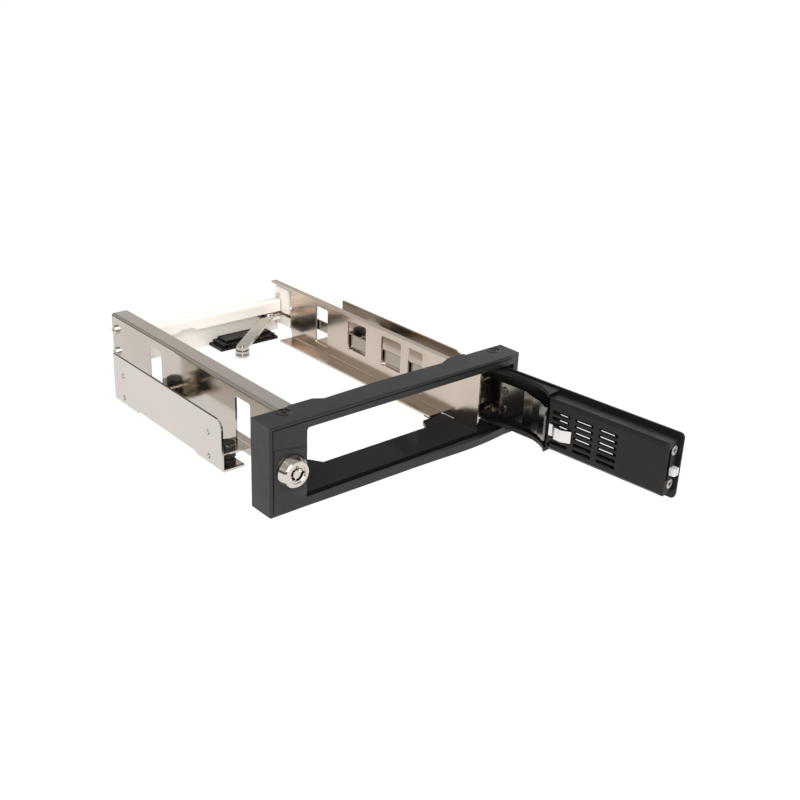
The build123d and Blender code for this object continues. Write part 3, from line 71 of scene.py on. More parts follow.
class Nodes:
    """Small builder for one node tree."""

    def __init__(self, tree: bpy.types.NodeTree) -> None:
        """Start on a tree."""
        self.tree = tree

    def node(self, kind: str, **settings: object) -> bpy.types.Node:
        """Add one node.

        Args:
            kind: Node type without the ShaderNode prefix.
            **settings: Attributes to set on the node.

        Returns:
            The new node.
        """
        made = self.tree.nodes.new("ShaderNode" + kind)
        for key, value in settings.items():
            setattr(made, key, value)
        return made

    def link(self, output: Socket, target: Socket) -> None:
        """Join two sockets."""
        self.tree.links.new(output, target)

    def feed(self, source: Socket | float | Sequence[float], target: Socket) -> None:
        """Give an input its value.

        Args:
            source: Socket, number or colour.
            target: Input to set.
        """
        if isinstance(source, Socket):
            self.link(source, target)
        else:
            target.default_value = source

    def math(self, operation: str, first: Socket, second: Socket | float) -> Socket:
        """Apply one Math operation.

        Args:
            operation: Name of the operation.
            first: First value.
            second: Second value, a socket or a number.

        Returns:
            The result.
        """
        made = self.node("Math", operation=operation)
        self.link(first, made.inputs[0])
        self.feed(second, made.inputs[1])
        return made.outputs[0]

    def ranged(self, value: Socket, source: Limits, result: Limits) -> Socket:
        """Map a value from one range onto another.

        Args:
            value: Value to map.
            source: Range in which the value is read.
            result: Range onto which it is mapped.

        Returns:
            The mapped value.
        """
        made = self.node("MapRange")
        for name, number in zip(("From Min", "From Max", "To Min", "To Max"), (*source, *result)):
            made.inputs[name].default_value = number
        self.link(value, made.inputs["Value"])
        return made.outputs["Result"]

    def blend(self, value: Socket, first: Socket | float, second: Socket | float) -> Socket:
        """Blend two numbers by a value.

        Args:
            value: Blend value from 0 to 1.
            first: Number at 0.
            second: Number at 1.

        Returns:
            The blended number.
        """
        mix = self.node("Mix", data_type="FLOAT")
        self.link(value, mix.inputs[0])
        self.feed(first, mix.inputs[2])
        self.feed(second, mix.inputs[3])
        return mix.outputs[0]

    def tint(self, value: Socket, first: Socket | Colour, second: Socket | Colour) -> Socket:
        """Blend two colours by a value.

        Args:
            value: Blend value from 0 to 1.
            first: Colour at 0.
            second: Colour at 1.

        Returns:
            The blended colour.
        """
        mix = self.node("Mix", data_type="RGBA")
        self.link(value, mix.inputs[0])
        for source, target in ((first, mix.inputs[6]), (second, mix.inputs[7])):
            self.feed(source if isinstance(source, Socket) else (*source, 1.0), target)
        return mix.outputs[2]

    def mixed(self, share: Socket, first: Socket, second: Socket) -> Socket:
        """Mix two shaders.

        Args:
            share: Share of the second shader.
            first: Shader at 0.
            second: Shader at 1.

        Returns:
            The mixed shader.
        """
        mix = self.node("MixShader")
        for source, target in zip((share, first, second), mix.inputs):
            self.link(source, target)
        return mix.outputs[0]


class Graph(Nodes):
    """Node tree of one new material with a Principled shader."""

    def __init__(self, name: str) -> None:
        """Start the material.

        Args:
            name: Name of the new material.
        """
        self.material = bpy.data.materials.new(name)
        self.material.use_nodes = True
        super().__init__(self.material.node_tree)
        self.shader = self.tree.nodes["Principled BSDF"]
        self.coordinates = self.node("TexCoord")

    def noise(self, scale: float, detail: float = 2.0, stretch: Sequence[float] = (1.0, 1.0, 1.0)) -> Socket:
        """Noise on object coordinates.

        Args:
            scale: Lumps in each metre.
            detail: Octaves of finer noise.
            stretch: Scale of the pattern along each axis.

        Returns:
            The noise value.
        """
        mapping = self.node("Mapping")
        mapping.inputs["Scale"].default_value = stretch
        self.link(self.coordinates.outputs["Object"], mapping.inputs["Vector"])
        texture = self.node("TexNoise")
        texture.inputs["Scale"].default_value = scale
        texture.inputs["Detail"].default_value = detail
        self.link(mapping.outputs["Vector"], texture.inputs["Vector"])
        return texture.outputs["Fac"]

    def spread(self, value: Socket, low: float, high: float) -> Socket:
        """Map the middle of a noise value onto a range.

        Args:
            value: Noise value.
            low: Result where the noise is low.
            high: Result where the noise is high.

        Returns:
            The mapped value.
        """
        return self.ranged(value, NOISE_MIDDLE, (low, high))

    def parts(self) -> dict[str, Socket]:
        """Split the object coordinates.

        Returns:
            The sockets of X, Y and Z.
        """
        split = self.node("SeparateXYZ")
        self.link(self.coordinates.outputs["Object"], split.inputs[0])
        return {name: split.outputs[name] for name in "XYZ"}

    def bump(self, layers: Sequence[tuple[Socket, float, float]]) -> None:
        """Stack bump layers on the shader's normal.

        Args:
            layers: Height, strength and depth in millimetres of each layer.
        """
        normal = None
        for height, strength, depth in layers:
            made = self.node("Bump")
            made.inputs["Strength"].default_value = strength
            made.inputs["Distance"].default_value = depth * MM
            self.link(height, made.inputs["Height"])
            if normal is not None:
                self.link(normal, made.inputs["Normal"])
            normal = made.outputs["Normal"]
        self.link(normal, self.shader.inputs["Normal"])


# Finishes


class Finish(Protocol):
    """Description that can build its material."""

    def material(self) -> bpy.types.Material:
        """Build the material."""


@dataclass(frozen=True)
class MouldedPlastic:
    """Injection-moulded plastic with a fine spark-eroded grain."""

    name: str
    colour: Colour
    lighter: Colour
    roughness: Limits
    grain: float = 1500.0
    grain_depth: float = 0.02
    specular: float = 0.5
    grain_strength: float = 0.25
    mottle: float = 70.0
    wear: float = 110.0
    sinks: float = 45.0

    def graph(self) -> Graph:
        """Build the shared part of the node graph.

        Returns:
            The graph, for further nodes.
        """
        made = Graph(self.name)
        made.link(made.tint(made.noise(self.mottle), self.colour, self.lighter), made.shader.inputs["Base Color"])
        made.link(made.spread(made.noise(self.wear, 3.0), *self.roughness), made.shader.inputs["Roughness"])
        made.shader.inputs["Specular IOR Level"].default_value = self.specular
        grain = (made.noise(self.grain, 1.0), self.grain_strength, self.grain_depth)
        made.bump([grain, (made.noise(self.sinks), 0.2, 0.08)])
        return made

    def material(self) -> bpy.types.Material:
        """Material of this finish."""
        return self.graph().material


@dataclass(frozen=True)
class BezelPlastic(MouldedPlastic):
    """Grained bezel whose floor behind the sill is polished."""

    floor_top: float = 4.6
    floor_front: float = 0.75
    floor_sides: Limits = (-55.4, 72.6)
    polish: float = 0.1
    floor_index: float = 1.16
    plain_index: float = 1.5

    def material(self) -> bpy.types.Material:
        """Build the grained plastic and polish its floor.

        Returns:
            The material.
        """
        made = self.graph()
        grained = made.shader.inputs["Roughness"].links[0].from_socket
        parts = made.parts()
        low = made.math("LESS_THAN", parts["Z"], self.floor_top * MM)
        behind = made.math("GREATER_THAN", parts["Y"], self.floor_front * MM)
        inside = made.math("GREATER_THAN", parts["X"], self.floor_sides[0] * MM)
        within = made.math("LESS_THAN", parts["X"], self.floor_sides[1] * MM)
        polished = made.math("MULTIPLY", made.math("MULTIPLY", low, behind), made.math("MULTIPLY", inside, within))
        made.link(made.blend(polished, grained, self.polish), made.shader.inputs["Roughness"])
        made.link(made.blend(polished, self.plain_index, self.floor_index), made.shader.inputs["IOR"])
        return made.material


@dataclass(frozen=True)
class PlatedSheet:
    """Rolled and nickel-plated sheet: soft mirror with fine lines along its rolling direction, with an optional
    painted shade above a given height.
    """

    name: str
    colour: Colour
    deeper: Colour
    roughness: Limits
    along: Axis = Axis.Y
    lines: float = 0.25
    ripple: float = 0.35
    metallic: float = 1.0
    fineness: float = 2600.0
    shade_above_height: float | None = None
    edge_shade_colour: Colour = (0.1, 0.09, 0.08)
    drawn_out: float = 0.015
    clouds: float = 18.0
    waves: float = 28.0

    def material(self) -> bpy.types.Material:
        """Build the plated metal.

        Returns:
            The material.
        """
        made = Graph(self.name)
        stretch = [1.0, 1.0, 1.0]
        stretch[self.along.value] = self.drawn_out
        streaks = made.noise(self.fineness, 3.0, stretch)
        made.shader.inputs["Metallic"].default_value = self.metallic
        colour = made.tint(made.noise(self.clouds), self.colour, self.deeper)
        # Painted shade: above the given height the colour turns near black, standing in for the shaded top edge.
        if self.shade_above_height is not None:
            edge = made.math("GREATER_THAN", made.parts()["Z"], self.shade_above_height * MM)
            colour = made.tint(edge, colour, self.edge_shade_colour)
        made.link(colour, made.shader.inputs["Base Color"])
        made.link(made.spread(streaks, *self.roughness), made.shader.inputs["Roughness"])
        made.bump([(streaks, self.lines, 0.01), (made.noise(self.waves, 1.0), self.ripple, 0.12)])
        return made.material


@dataclass(frozen=True)
class TurnedMetal:
    """Small turned, headed or plated metal piece with tool marks and a few dull spots."""

    name: str
    colour: Colour
    roughness: Limits
    marks: float = 1200.0
    metallic: float = 1.0
    dullness: float = 0.8
    spots: float = 300.0
    wear: float = 500.0

    def material(self) -> bpy.types.Material:
        """Build the turned metal.

        Returns:
            The material.
        """
        made = Graph(self.name)
        dull = tuple(self.dullness * part for part in self.colour)
        made.shader.inputs["Metallic"].default_value = self.metallic
        made.link(made.tint(made.noise(self.spots, 3.0), self.colour, dull), made.shader.inputs["Base Color"])
        made.link(made.spread(made.noise(self.wear), *self.roughness), made.shader.inputs["Roughness"])
        made.bump([(made.noise(self.marks, 2.0), 0.2, 0.01)])
        return made.material


@dataclass(frozen=True)
class DamperRubber:
    """Matt black rubber with a powdery bloom."""

    name: str = "damper_rubber"
    colour: Colour = (0.012, 0.012, 0.012)
    dusty: Colour = (0.03, 0.029, 0.028)
    roughness: Limits = (0.5, 0.68)
    bloom: float = 260.0
    grain: float = 1800.0

    def material(self) -> bpy.types.Material:
        """Build the rubber.

        Returns:
            The material.
        """
        made = Graph(self.name)
        bloom = made.noise(self.bloom, 4.0)
        made.link(made.tint(bloom, self.colour, self.dusty), made.shader.inputs["Base Color"])
        made.link(made.spread(bloom, *self.roughness), made.shader.inputs["Roughness"])
        made.bump([(made.noise(self.grain, 2.0), 0.35, 0.03)])
        return made.material


@dataclass(frozen=True)
class CircuitBoard:
    """Green solder mask over copper tracks and a woven core."""

    name: str = "board_mask"
    mask: Colour = (0.004, 0.07, 0.03)
    other_mask: Colour = (0.004, 0.085, 0.036)
    track: Colour = (0.02, 0.16, 0.07)
    roughness: Limits = (0.22, 0.34)

    def material(self) -> bpy.types.Material:
        """Build the board's mask and tracks.

        Returns:
            The material.
        """
        made = Graph(self.name)
        tracks = made.node("TexBrick", offset=0.5)
        pattern = {"Scale": 160.0, "Mortar Size": 0.03, "Brick Width": 2.6, "Row Height": 0.13}
        for name, number in pattern.items():
            tracks.inputs[name].default_value = number
        for name, colour in {"Color1": self.mask, "Color2": self.other_mask, "Mortar": self.track}.items():
            tracks.inputs[name].default_value = (*colour, 1.0)
        turned = made.node("Mapping")
        turned.inputs["Rotation"].default_value = (math.pi / 2, 0.0, 0.0)
        made.link(made.coordinates.outputs["Object"], turned.inputs["Vector"])
        made.link(turned.outputs["Vector"], tracks.inputs["Vector"])
        made.link(tracks.outputs["Color"], made.shader.inputs["Base Color"])
        made.link(made.spread(made.noise(300.0), *self.roughness), made.shader.inputs["Roughness"])
        made.bump([(tracks.outputs["Fac"], 0.3, 0.035), (made.noise(2200.0), 0.1, 0.01)])
        return made.material


BEZEL = BezelPlastic("bezel_plastic", (0.0105, 0.0105, 0.011), (0.0145, 0.0145, 0.015), (0.4, 0.5))
DOOR_BLACK = MouldedPlastic("door_plastic", (0.0055, 0.0055, 0.0055), (0.008, 0.008, 0.008), (0.4, 0.5), specular=0.33)
CONNECTOR_BLACK = MouldedPlastic(
    "connector_plastic", (0.004, 0.004, 0.004), (0.007, 0.007, 0.0065), (0.28, 0.4), 900.0, specular=0.3
)
LATCH_WHITE = MouldedPlastic("latch_plastic", (0.56, 0.55, 0.53), (0.63, 0.62, 0.6), (0.32, 0.42), 700.0)
# Painted light and shade: the nickel finishes below are one plating in lit and shaded copies, each part's tone set
# lighter or darker for the light it gets; the far bracket and the push rod are shaded copies.
SIDE_NICKEL = PlatedSheet("side_nickel", (0.62, 0.575, 0.53), (0.52, 0.465, 0.41), (0.07, 0.15))
# The left bay bracket carries painted shade on its top strip above Z 30.06 mm.
BRACKET_NICKEL_SHADED_TOP = PlatedSheet("bracket_nickel_shaded_top", (0.7, 0.65, 0.6), (0.64, 0.59, 0.545), (0.09, 0.18), shade_above_height=30.06)
INNER_NICKEL = PlatedSheet("inner_nickel", (0.76, 0.66, 0.57), (0.46, 0.385, 0.32), (0.12, 0.24))
FAR_NICKEL_SHADED = PlatedSheet("far_nickel_painted_shade", (0.6, 0.53, 0.46), (0.46, 0.4, 0.34), (0.1, 0.2))
ROD_NICKEL_SHADED = PlatedSheet("rod_nickel_painted_shade", (0.44, 0.385, 0.33), (0.34, 0.295, 0.25), (0.12, 0.22))
PANEL_METAL = PlatedSheet(
    "panel_plating", (0.99, 0.945, 0.885), (0.97, 0.915, 0.845), (0.34, 0.46), Axis.X, 0.15, 0.2, 0.1
)
# Painted dark reflection: the hinge arm is the same nickel, darkened to stand in for the black it mirrors.
ARM_NICKEL_PAINTED_DARK = PlatedSheet("arm_nickel_painted_reflection", (0.4, 0.375, 0.335), (0.16, 0.15, 0.135), (0.12, 0.18), Axis.Z, 0.03, 0.4)
LEVER_NICKEL = PlatedSheet("lever_nickel", (0.64, 0.6, 0.55), (0.5, 0.46, 0.42), (0.14, 0.24), Axis.Y, 0.2)
SPRING_STEEL = PlatedSheet("spring_steel", (0.95, 0.92, 0.895), (0.82, 0.79, 0.765), (0.22, 0.3), Axis.Z, 0.05, 0.5)
LOCK_CHROME = PlatedSheet("lock_chrome", (0.73, 0.68, 0.62), (0.64, 0.595, 0.54), (0.08, 0.15), Axis.Z, 0.12, 0.1)
SCREW_NICKEL = TurnedMetal("screw_nickel", (0.8, 0.75, 0.7), (0.16, 0.3))
SCREW_BLACK = TurnedMetal("screw_black", (0.07, 0.07, 0.066), (0.1, 0.2))
SCREW_ZINC = TurnedMetal("screw_zinc", (0.66, 0.61, 0.57), (0.3, 0.45), 1200.0, 0.55)
ROLLER_STEEL = TurnedMetal("roller_steel", (0.6, 0.56, 0.51), (0.12, 0.22), 700.0)
# Dark pins; this material also paints the shade in the end screws' cross recess.
PIN_DARK_AND_RECESS_SHADE = TurnedMetal("pin_dark_and_recess_shade", (0.12, 0.11, 0.1), (0.16, 0.28))
CONTACT_GOLD = TurnedMetal("contact_gold", (0.83, 0.6, 0.26), (0.18, 0.3), 900.0)
SOLDER = TurnedMetal("solder_tin", (0.72, 0.72, 0.73), (0.2, 0.34), 700.0)
CHIP_TAN = MouldedPlastic("capacitor_ceramic", (0.36, 0.24, 0.13), (0.42, 0.28, 0.16), (0.4, 0.5), 1400.0)

NODE_FINISHES: dict[Finish, tuple[str, ...]] = {
    BEZEL: ("bezel",),
    DOOR_BLACK: ("door_panel", "door_cover"),
    SIDE_NICKEL: ("left_side_plate",),
    INNER_NICKEL: ("right_side_plate", "rod_guides"),
    BRACKET_NICKEL_SHADED_TOP: ("left_bay_bracket",),
    FAR_NICKEL_SHADED: ("right_bay_bracket",),
    ROD_NICKEL_SHADED: ("push_rod",),
    PANEL_METAL: ("rear_panel",),
    ARM_NICKEL_PAINTED_DARK: ("hinge_arm",),
    LEVER_NICKEL: ("eject_lever",),
    SPRING_STEEL: ("pusher_spring", "latch_spring"),
    LOCK_CHROME: ("lock_body", "lock_plug"),
    SCREW_NICKEL: (
        "rear_panel_screws", "board_screws", "lever_pivot", "lock_nut", "lock_cam", "lock_cam_screw",
    ),
    ROLLER_STEEL: ("eject_roller",),
    SCREW_ZINC: ("door_end_screws",),
    PIN_DARK_AND_RECESS_SHADE: ("arm_rivets", "drive_pin", "hinge_pins"),
    SCREW_BLACK: ("bezel_screws", "damper_screws"),
    CONNECTOR_BLACK: ("drive_connector", "data_socket", "power_socket"),
    CircuitBoard(): ("backplane_board",),
    DamperRubber(): ("front_left_damper", "rear_left_damper", "front_right_damper", "rear_right_damper"),
    LATCH_WHITE: ("latch_tongue",),
}


class FinishStore:
    """Keeps one material for each finish."""

    def __init__(self) -> None:
        """Start with no materials."""
        self.made: dict[Finish, bpy.types.Material] = {}

    def get(self, finish: Finish) -> bpy.types.Material:
        """Material of a finish, built on first use.

        Args:
            finish: A finish.

        Returns:
            The material.
        """
        if finish not in self.made:
            self.made[finish] = finish.material()
        return self.made[finish]


FINISHES = FinishStore()


# Modelling helpers


def clear_selection() -> None:
    """Deselect every object."""
    bpy.ops.object.select_all(action="DESELECT")


def take(piece: Piece) -> None:
    """Select one object and make it active."""
    clear_selection()
    piece.select_set(True)
    bpy.context.view_layer.objects.active = piece


def settle(piece: Piece) -> None:
    """Apply place, turn and size so that the piece's object sits at the origin."""
    take(piece)
    bpy.ops.object.transform_apply(location=True, rotation=True, scale=True)


def choose(piece: Piece, test: Callable[[Vector, Vector], bool]) -> None:
    """Enter edit mode with only the faces that pass a test selected.

    Args:
        piece: Piece to edit.
        test: Takes a face's centre in millimetres and its normal.
    """
    take(piece)
    bpy.ops.object.mode_set(mode="EDIT")
    bpy.ops.mesh.select_mode(type="FACE")
    bpy.ops.mesh.select_all(action="DESELECT")
    mesh = bmesh.from_edit_mesh(piece.data)
    for face in mesh.faces:
        face.select_set(test(face.calc_center_median() / MM, face.normal))
    bmesh.update_edit_mesh(piece.data)


def leave() -> None:
    """Go back to object mode."""
    bpy.ops.object.mode_set(mode="OBJECT")


def add_block(name: str, x: Limits, y: Limits, z: Limits) -> Piece:
    """Add a block between limits in millimetres.

    Args:
        name: Name of the piece.
        x: Limits in X.
        y: Limits in Y.
        z: Limits in Z.

    Returns:
        The new object, settled at the origin.
    """
    clear_selection()
    middle = Vector((sum(x), sum(y), sum(z))) * MM / 2
    bpy.ops.mesh.primitive_cube_add(size=1.0, location=middle)
    piece = bpy.context.object
    piece.name = name
    piece.scale = Vector((x[1] - x[0], y[1] - y[0], z[1] - z[0])) * MM
    settle(piece)
    return piece


def add_round(name: str, radius: float, depth: float, centre: Sequence[float], axis: Axis, sides: int) -> Piece:
    """Add a cylinder about its centre, in millimetres.

    Args:
        name: Name of the piece.
        radius: Radius.
        depth: Length along its axis.
        centre: Middle of the cylinder.
        axis: Direction of its axis.
        sides: Number of sides.

    Returns:
        The new object, settled at the origin.
    """
    clear_selection()
    turn = {Axis.X: (0.0, math.pi / 2, 0.0), Axis.Y: (math.pi / 2, 0.0, 0.0), Axis.Z: (0.0, 0.0, 0.0)}[axis]
    bpy.ops.mesh.primitive_cylinder_add(
        vertices=sides, radius=radius * MM, depth=depth * MM, location=Vector(centre) * MM, rotation=turn
    )
    piece = bpy.context.object
    piece.name = name
    settle(piece)
    return piece


def soften(piece: Piece, width: float, segments: int = 2, angle: float = 30.0) -> None:
    """Bevel a piece's sharp edges and shade it smooth.

    Args:
        piece: Piece to finish.
        width: Width of the bevel in millimetres.
        segments: Number of bevel segments.
        angle: Smallest angle that counts as an edge, in degrees.
    """
    take(piece)
    bevel = piece.modifiers.new("edge", "BEVEL")
    bevel.width = width * MM
    bevel.segments = segments
    bevel.limit_method = "ANGLE"
    bevel.angle_limit = math.radians(angle)
    bpy.ops.object.modifier_apply(modifier=bevel.name)
    bpy.ops.object.shade_smooth_by_angle(angle=math.radians(angle))


def cut(piece: Piece, cutter: Piece) -> None:
    """Take one solid out of another and remove the cutter.

    Args:
        piece: Piece to cut.
        cutter: Solid to take out.
    """
    take(piece)
    boolean = piece.modifiers.new("cut", "BOOLEAN")
    boolean.operation = "DIFFERENCE"
    boolean.object = cutter
    boolean.solver = "EXACT"
    bpy.ops.object.modifier_apply(modifier=boolean.name)
    bpy.data.objects.remove(cutter)


def add_spun(name: str, line: Sequence[Sequence[float]], centre: Sequence[float], axis: Axis, steps: int) -> Piece:
    """Spin a closed line a full turn about an axis, in millimetres.

    Args:
        name: Name of the piece.
        line: Points of the line.
        centre: Point on the axis.
        axis: Direction of the axis.
        steps: Number of steps of the turn.

    Returns:
        The new object at the origin.
    """
    clear_selection()
    bpy.ops.mesh.primitive_plane_add(size=1.0)
    piece = bpy.context.object
    piece.name = name
    mesh = bmesh.new()
    points = [mesh.verts.new(Vector(point) * MM) for point in line]
    for start, end in zip(points, points[1:] + points[:1]):
        mesh.edges.new((start, end))
    mesh.to_mesh(piece.data)
    mesh.free()
    take(piece)
    bpy.ops.object.mode_set(mode="EDIT")
    bpy.ops.mesh.select_all(action="SELECT")
    direction = [float(other is axis) for other in Axis]
    bpy.ops.mesh.spin(steps=steps, angle=2 * math.pi, center=Vector(centre) * MM, axis=direction)
    bpy.ops.mesh.select_all(action="SELECT")
    bpy.ops.mesh.remove_doubles(threshold=0.01 * MM)
    bpy.ops.mesh.normals_make_consistent(inside=False)
    leave()
    return piece


def copy_of(piece: Piece, name: str, move: Matrix) -> Piece:
    """Copy a piece with its own mesh, moved in the mesh.

    Args:
        piece: Piece to copy.
        name: Name of the copy.
        move: Move in metres.

    Returns:
        The copy.
    """
    made = piece.copy()
    made.data = piece.data.copy()
    made.name = name
    made.data.transform(move)
    bpy.context.scene.collection.objects.link(made)
    return made


def shift(x: float = 0.0, y: float = 0.0, z: float = 0.0) -> Matrix:
    """Move in millimetres as a matrix in metres."""
    return Matrix.Translation(Vector((x, y, z)) * MM)


def row_of(first: Piece, label: str, pitch: float, count: int) -> list[Piece]:
    """Line up copies of a piece along X.

    Args:
        first: First piece of the row.
        label: Name of each copy.
        pitch: Step in millimetres.
        count: Number of pieces, with the first.

    Returns:
        The pieces of the row.
    """
    return [first] + [copy_of(first, label, shift(index * pitch)) for index in range(1, count)]


def join(pieces: Sequence[Piece], name: str) -> Piece:
    """Join pieces into one object.

    Args:
        pieces: Pieces to join.
        name: Name of the joined piece.

    Returns:
        The joined piece.
    """
    take(pieces[0])
    for piece in pieces:
        piece.select_set(True)
    bpy.ops.object.join()
    joined = bpy.context.object
    joined.name = name
    return joined


def dress(piece: Piece, finish: Finish, body: Body) -> None:
    """Give a finished piece its material, body and slot, and report it.

    Args:
        piece: Finished piece.
        finish: Its finish.
        body: Body that it rides on.
    """
    piece.data.materials.clear()
    piece.data.materials.append(FINISHES.get(finish))
    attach(piece, body.value)
    LOG.info("%s: %d faces", piece.name, len(piece.data.polygons))


# Sub-assemblies


@dataclass
class DoorPlace:
    """Turns a piece modelled on the closed door to where the open door is."""

    hinge: tuple[float, float] = (56.2, 10.1)
    swing: float = 94.9

    def open(self, piece: Piece) -> Piece:
        """Swing a piece open about the hinge.

        Args:
            piece: Piece on the closed door.

        Returns:
            The same piece.
        """
        to_hinge = shift(self.hinge[0], self.hinge[1])
        piece.data.transform(to_hinge @ Matrix.Rotation(math.radians(self.swing), 4, "Z") @ to_hinge.inverted())
        return piece


@dataclass
class LockDetail:
    """Pins in the lock's key ring and the raised pad round its collar."""

    centre: tuple[float, float] = (-63.2, 19.6)
    pin_circle: float = 2.55
    pin_radius: float = 0.38
    pin_front: float = -1.6
    pin_length: float = 3.0
    pin_tip: float = 0.12
    pin_count: int = 7
    collar: float = 7.5
    pad_x: Limits = (-71.9, -55.1)
    pad_low: Limits = (8.9, 6.1)
    pad_high: Limits = (31.6, 29.0)
    pad_proud: float = 0.22
    pad_root: float = 0.3
    collar_room: float = 0.05

    def pins(self) -> None:
        """Sprung pins at the bottom of the key ring."""
        middle = (self.centre[0], 0.0, self.centre[1] + self.pin_circle)
        first = add_round("lock_pins", self.pin_radius, self.pin_length, middle, Axis.Y, 16)
        choose(first, lambda spot, normal: normal.y < -0.5)
        bpy.ops.mesh.inset(thickness=self.pin_tip * MM)
        bpy.ops.transform.translate(value=(0.0, -self.pin_tip * MM, 0.0))
        leave()
        first.data.transform(shift(y=self.pin_front + self.pin_length / 2))
        axis = shift(self.centre[0], 0.0, self.centre[1])
        pins = [first]
        for index in range(1, self.pin_count):
            turn = Matrix.Rotation(2 * math.pi * index / self.pin_count, 4, "Y")
            pins.append(copy_of(first, "lock_pin", axis @ turn @ axis.inverted()))
        whole = join(pins, "lock_pins")
        bpy.ops.object.shade_smooth_by_angle(angle=math.radians(35))
        dress(whole, SCREW_NICKEL, Body.PLUG)

    def pad(self) -> None:
        """Shallow pad of the bezel's face with sloping upper and lower edges and the collar's hole."""
        blank = (min(self.pad_low) - 1, max(self.pad_high) + 1)
        piece = add_block("lock_pad", self.pad_x, (-self.pad_proud, self.pad_root), blank)
        for heights, outward in ((self.pad_low, -1.0), (self.pad_high, 1.0)):
            run = Vector((self.pad_x[1] - self.pad_x[0], 0.0, heights[1] - heights[0]))
            normal = Vector((-run.z, 0.0, run.x)).normalized() * outward
            take(piece)
            bpy.ops.object.mode_set(mode="EDIT")
            bpy.ops.mesh.select_all(action="SELECT")
            start = Vector((self.pad_x[0], 0.0, heights[0])) * MM
            bpy.ops.mesh.bisect(plane_co=start, plane_no=normal, use_fill=True, clear_outer=True)
            leave()
        middle = (self.centre[0], 0.0, self.centre[1])
        cut(piece, add_round("collar_hole", self.collar + self.collar_room, 4.0, middle, Axis.Y, 64))
        soften(piece, 0.15, 2)
        dress(piece, BEZEL, Body.CHASSIS)

    def build(self) -> None:
        """Build both pieces."""
        self.pins()
        self.pad()


@dataclass
class ConnectorContacts:
    """Gilt contacts in the drive connector and on the data socket's tongue, and the connector's comb."""

    front: float = 165.2
    depth: float = 4.4
    width: float = 0.55
    pitch: float = 1.27
    data_first: float = 10.5
    power_first: float = 24.2
    data_count: int = 7
    power_count: int = 13
    height: Limits = (6.95, 7.1)
    nose_room: float = 1.6
    nose: tuple[Limits, ...] = ((-0.6, 0.25), (-0.4, -0.08), (-0.3, -0.12))
    comb_front: float = 163.8
    comb_left: float = 6.2
    comb_height: Limits = (5.35, 6.4)
    comb_depth: Limits = (-0.3, 0.2)
    comb_count: int = 29
    blade_top: float = 12.6
    blade_front: float = 180.4
    blade_length: float = 4.4
    blade_width: float = 0.6
    blade_proud: float = 0.08
    data_socket_left: float = 5.9

    def spring(self) -> Piece:
        """One contact: a leaf with a raised nose near its front.

        Returns:
            The contact at the first place of the data slot.
        """
        start = self.data_first - self.width / 2
        length = (self.front + self.nose_room, self.front + self.depth)
        leaf = add_block("connector_contacts", (start, start + self.width), length, self.height)
        choose(leaf, lambda middle, normal: normal.y < -0.5)
        for step, rise in self.nose:
            bpy.ops.mesh.extrude_region_move(TRANSFORM_OT_translate={"value": (0.0, step * MM, rise * MM)})
        leave()
        soften(leaf, 0.05, 1)
        return leaf

    def front_rows(self) -> None:
        """Rows of data contacts and power contacts."""
        first = self.spring()
        row = row_of(first, "contact", self.pitch, self.data_count)
        apart = self.power_first - self.data_first
        row += [copy_of(first, "contact", shift(apart + index * self.pitch)) for index in range(self.power_count)]
        dress(join(row, "connector_contacts"), CONTACT_GOLD, Body.CHASSIS)

    def comb(self) -> None:
        """Fine moulded ribs along the connector's front foot."""
        left = self.comb_left
        depth = (self.comb_front + self.comb_depth[0], self.comb_front + self.comb_depth[1])
        first = add_block("connector_comb", (left, left + self.width), depth, self.comb_height)
        choose(first, lambda middle, normal: normal.y < -0.5)
        bpy.ops.transform.resize(value=(0.7, 1.0, 0.85))
        leave()
        soften(first, 0.06, 1)
        row = row_of(first, "rib", self.pitch, self.comb_count)
        dress(join(row, "connector_comb"), CONNECTOR_BLACK, Body.CHASSIS)

    def rear_row(self) -> None:
        """Contacts on the tongue of the data socket."""
        left = self.data_socket_left
        length = (self.blade_front, self.blade_front + self.blade_length)
        height = (self.blade_top, self.blade_top + self.blade_proud)
        first = add_block("socket_contacts", (left, left + self.blade_width), length, height)
        choose(first, lambda middle, normal: normal.y > 0.5)
        bpy.ops.transform.translate(value=(0.0, 0.0, -self.blade_proud / 2 * MM))
        leave()
        soften(first, 0.02, 1)
        row = row_of(first, "contact", self.pitch, self.data_count)
        dress(join(row, "socket_contacts"), CONTACT_GOLD, Body.CHASSIS)

    def build(self) -> None:
        """Build the contacts of both ends and the comb."""
        self.front_rows()
        self.comb()
        self.rear_row()


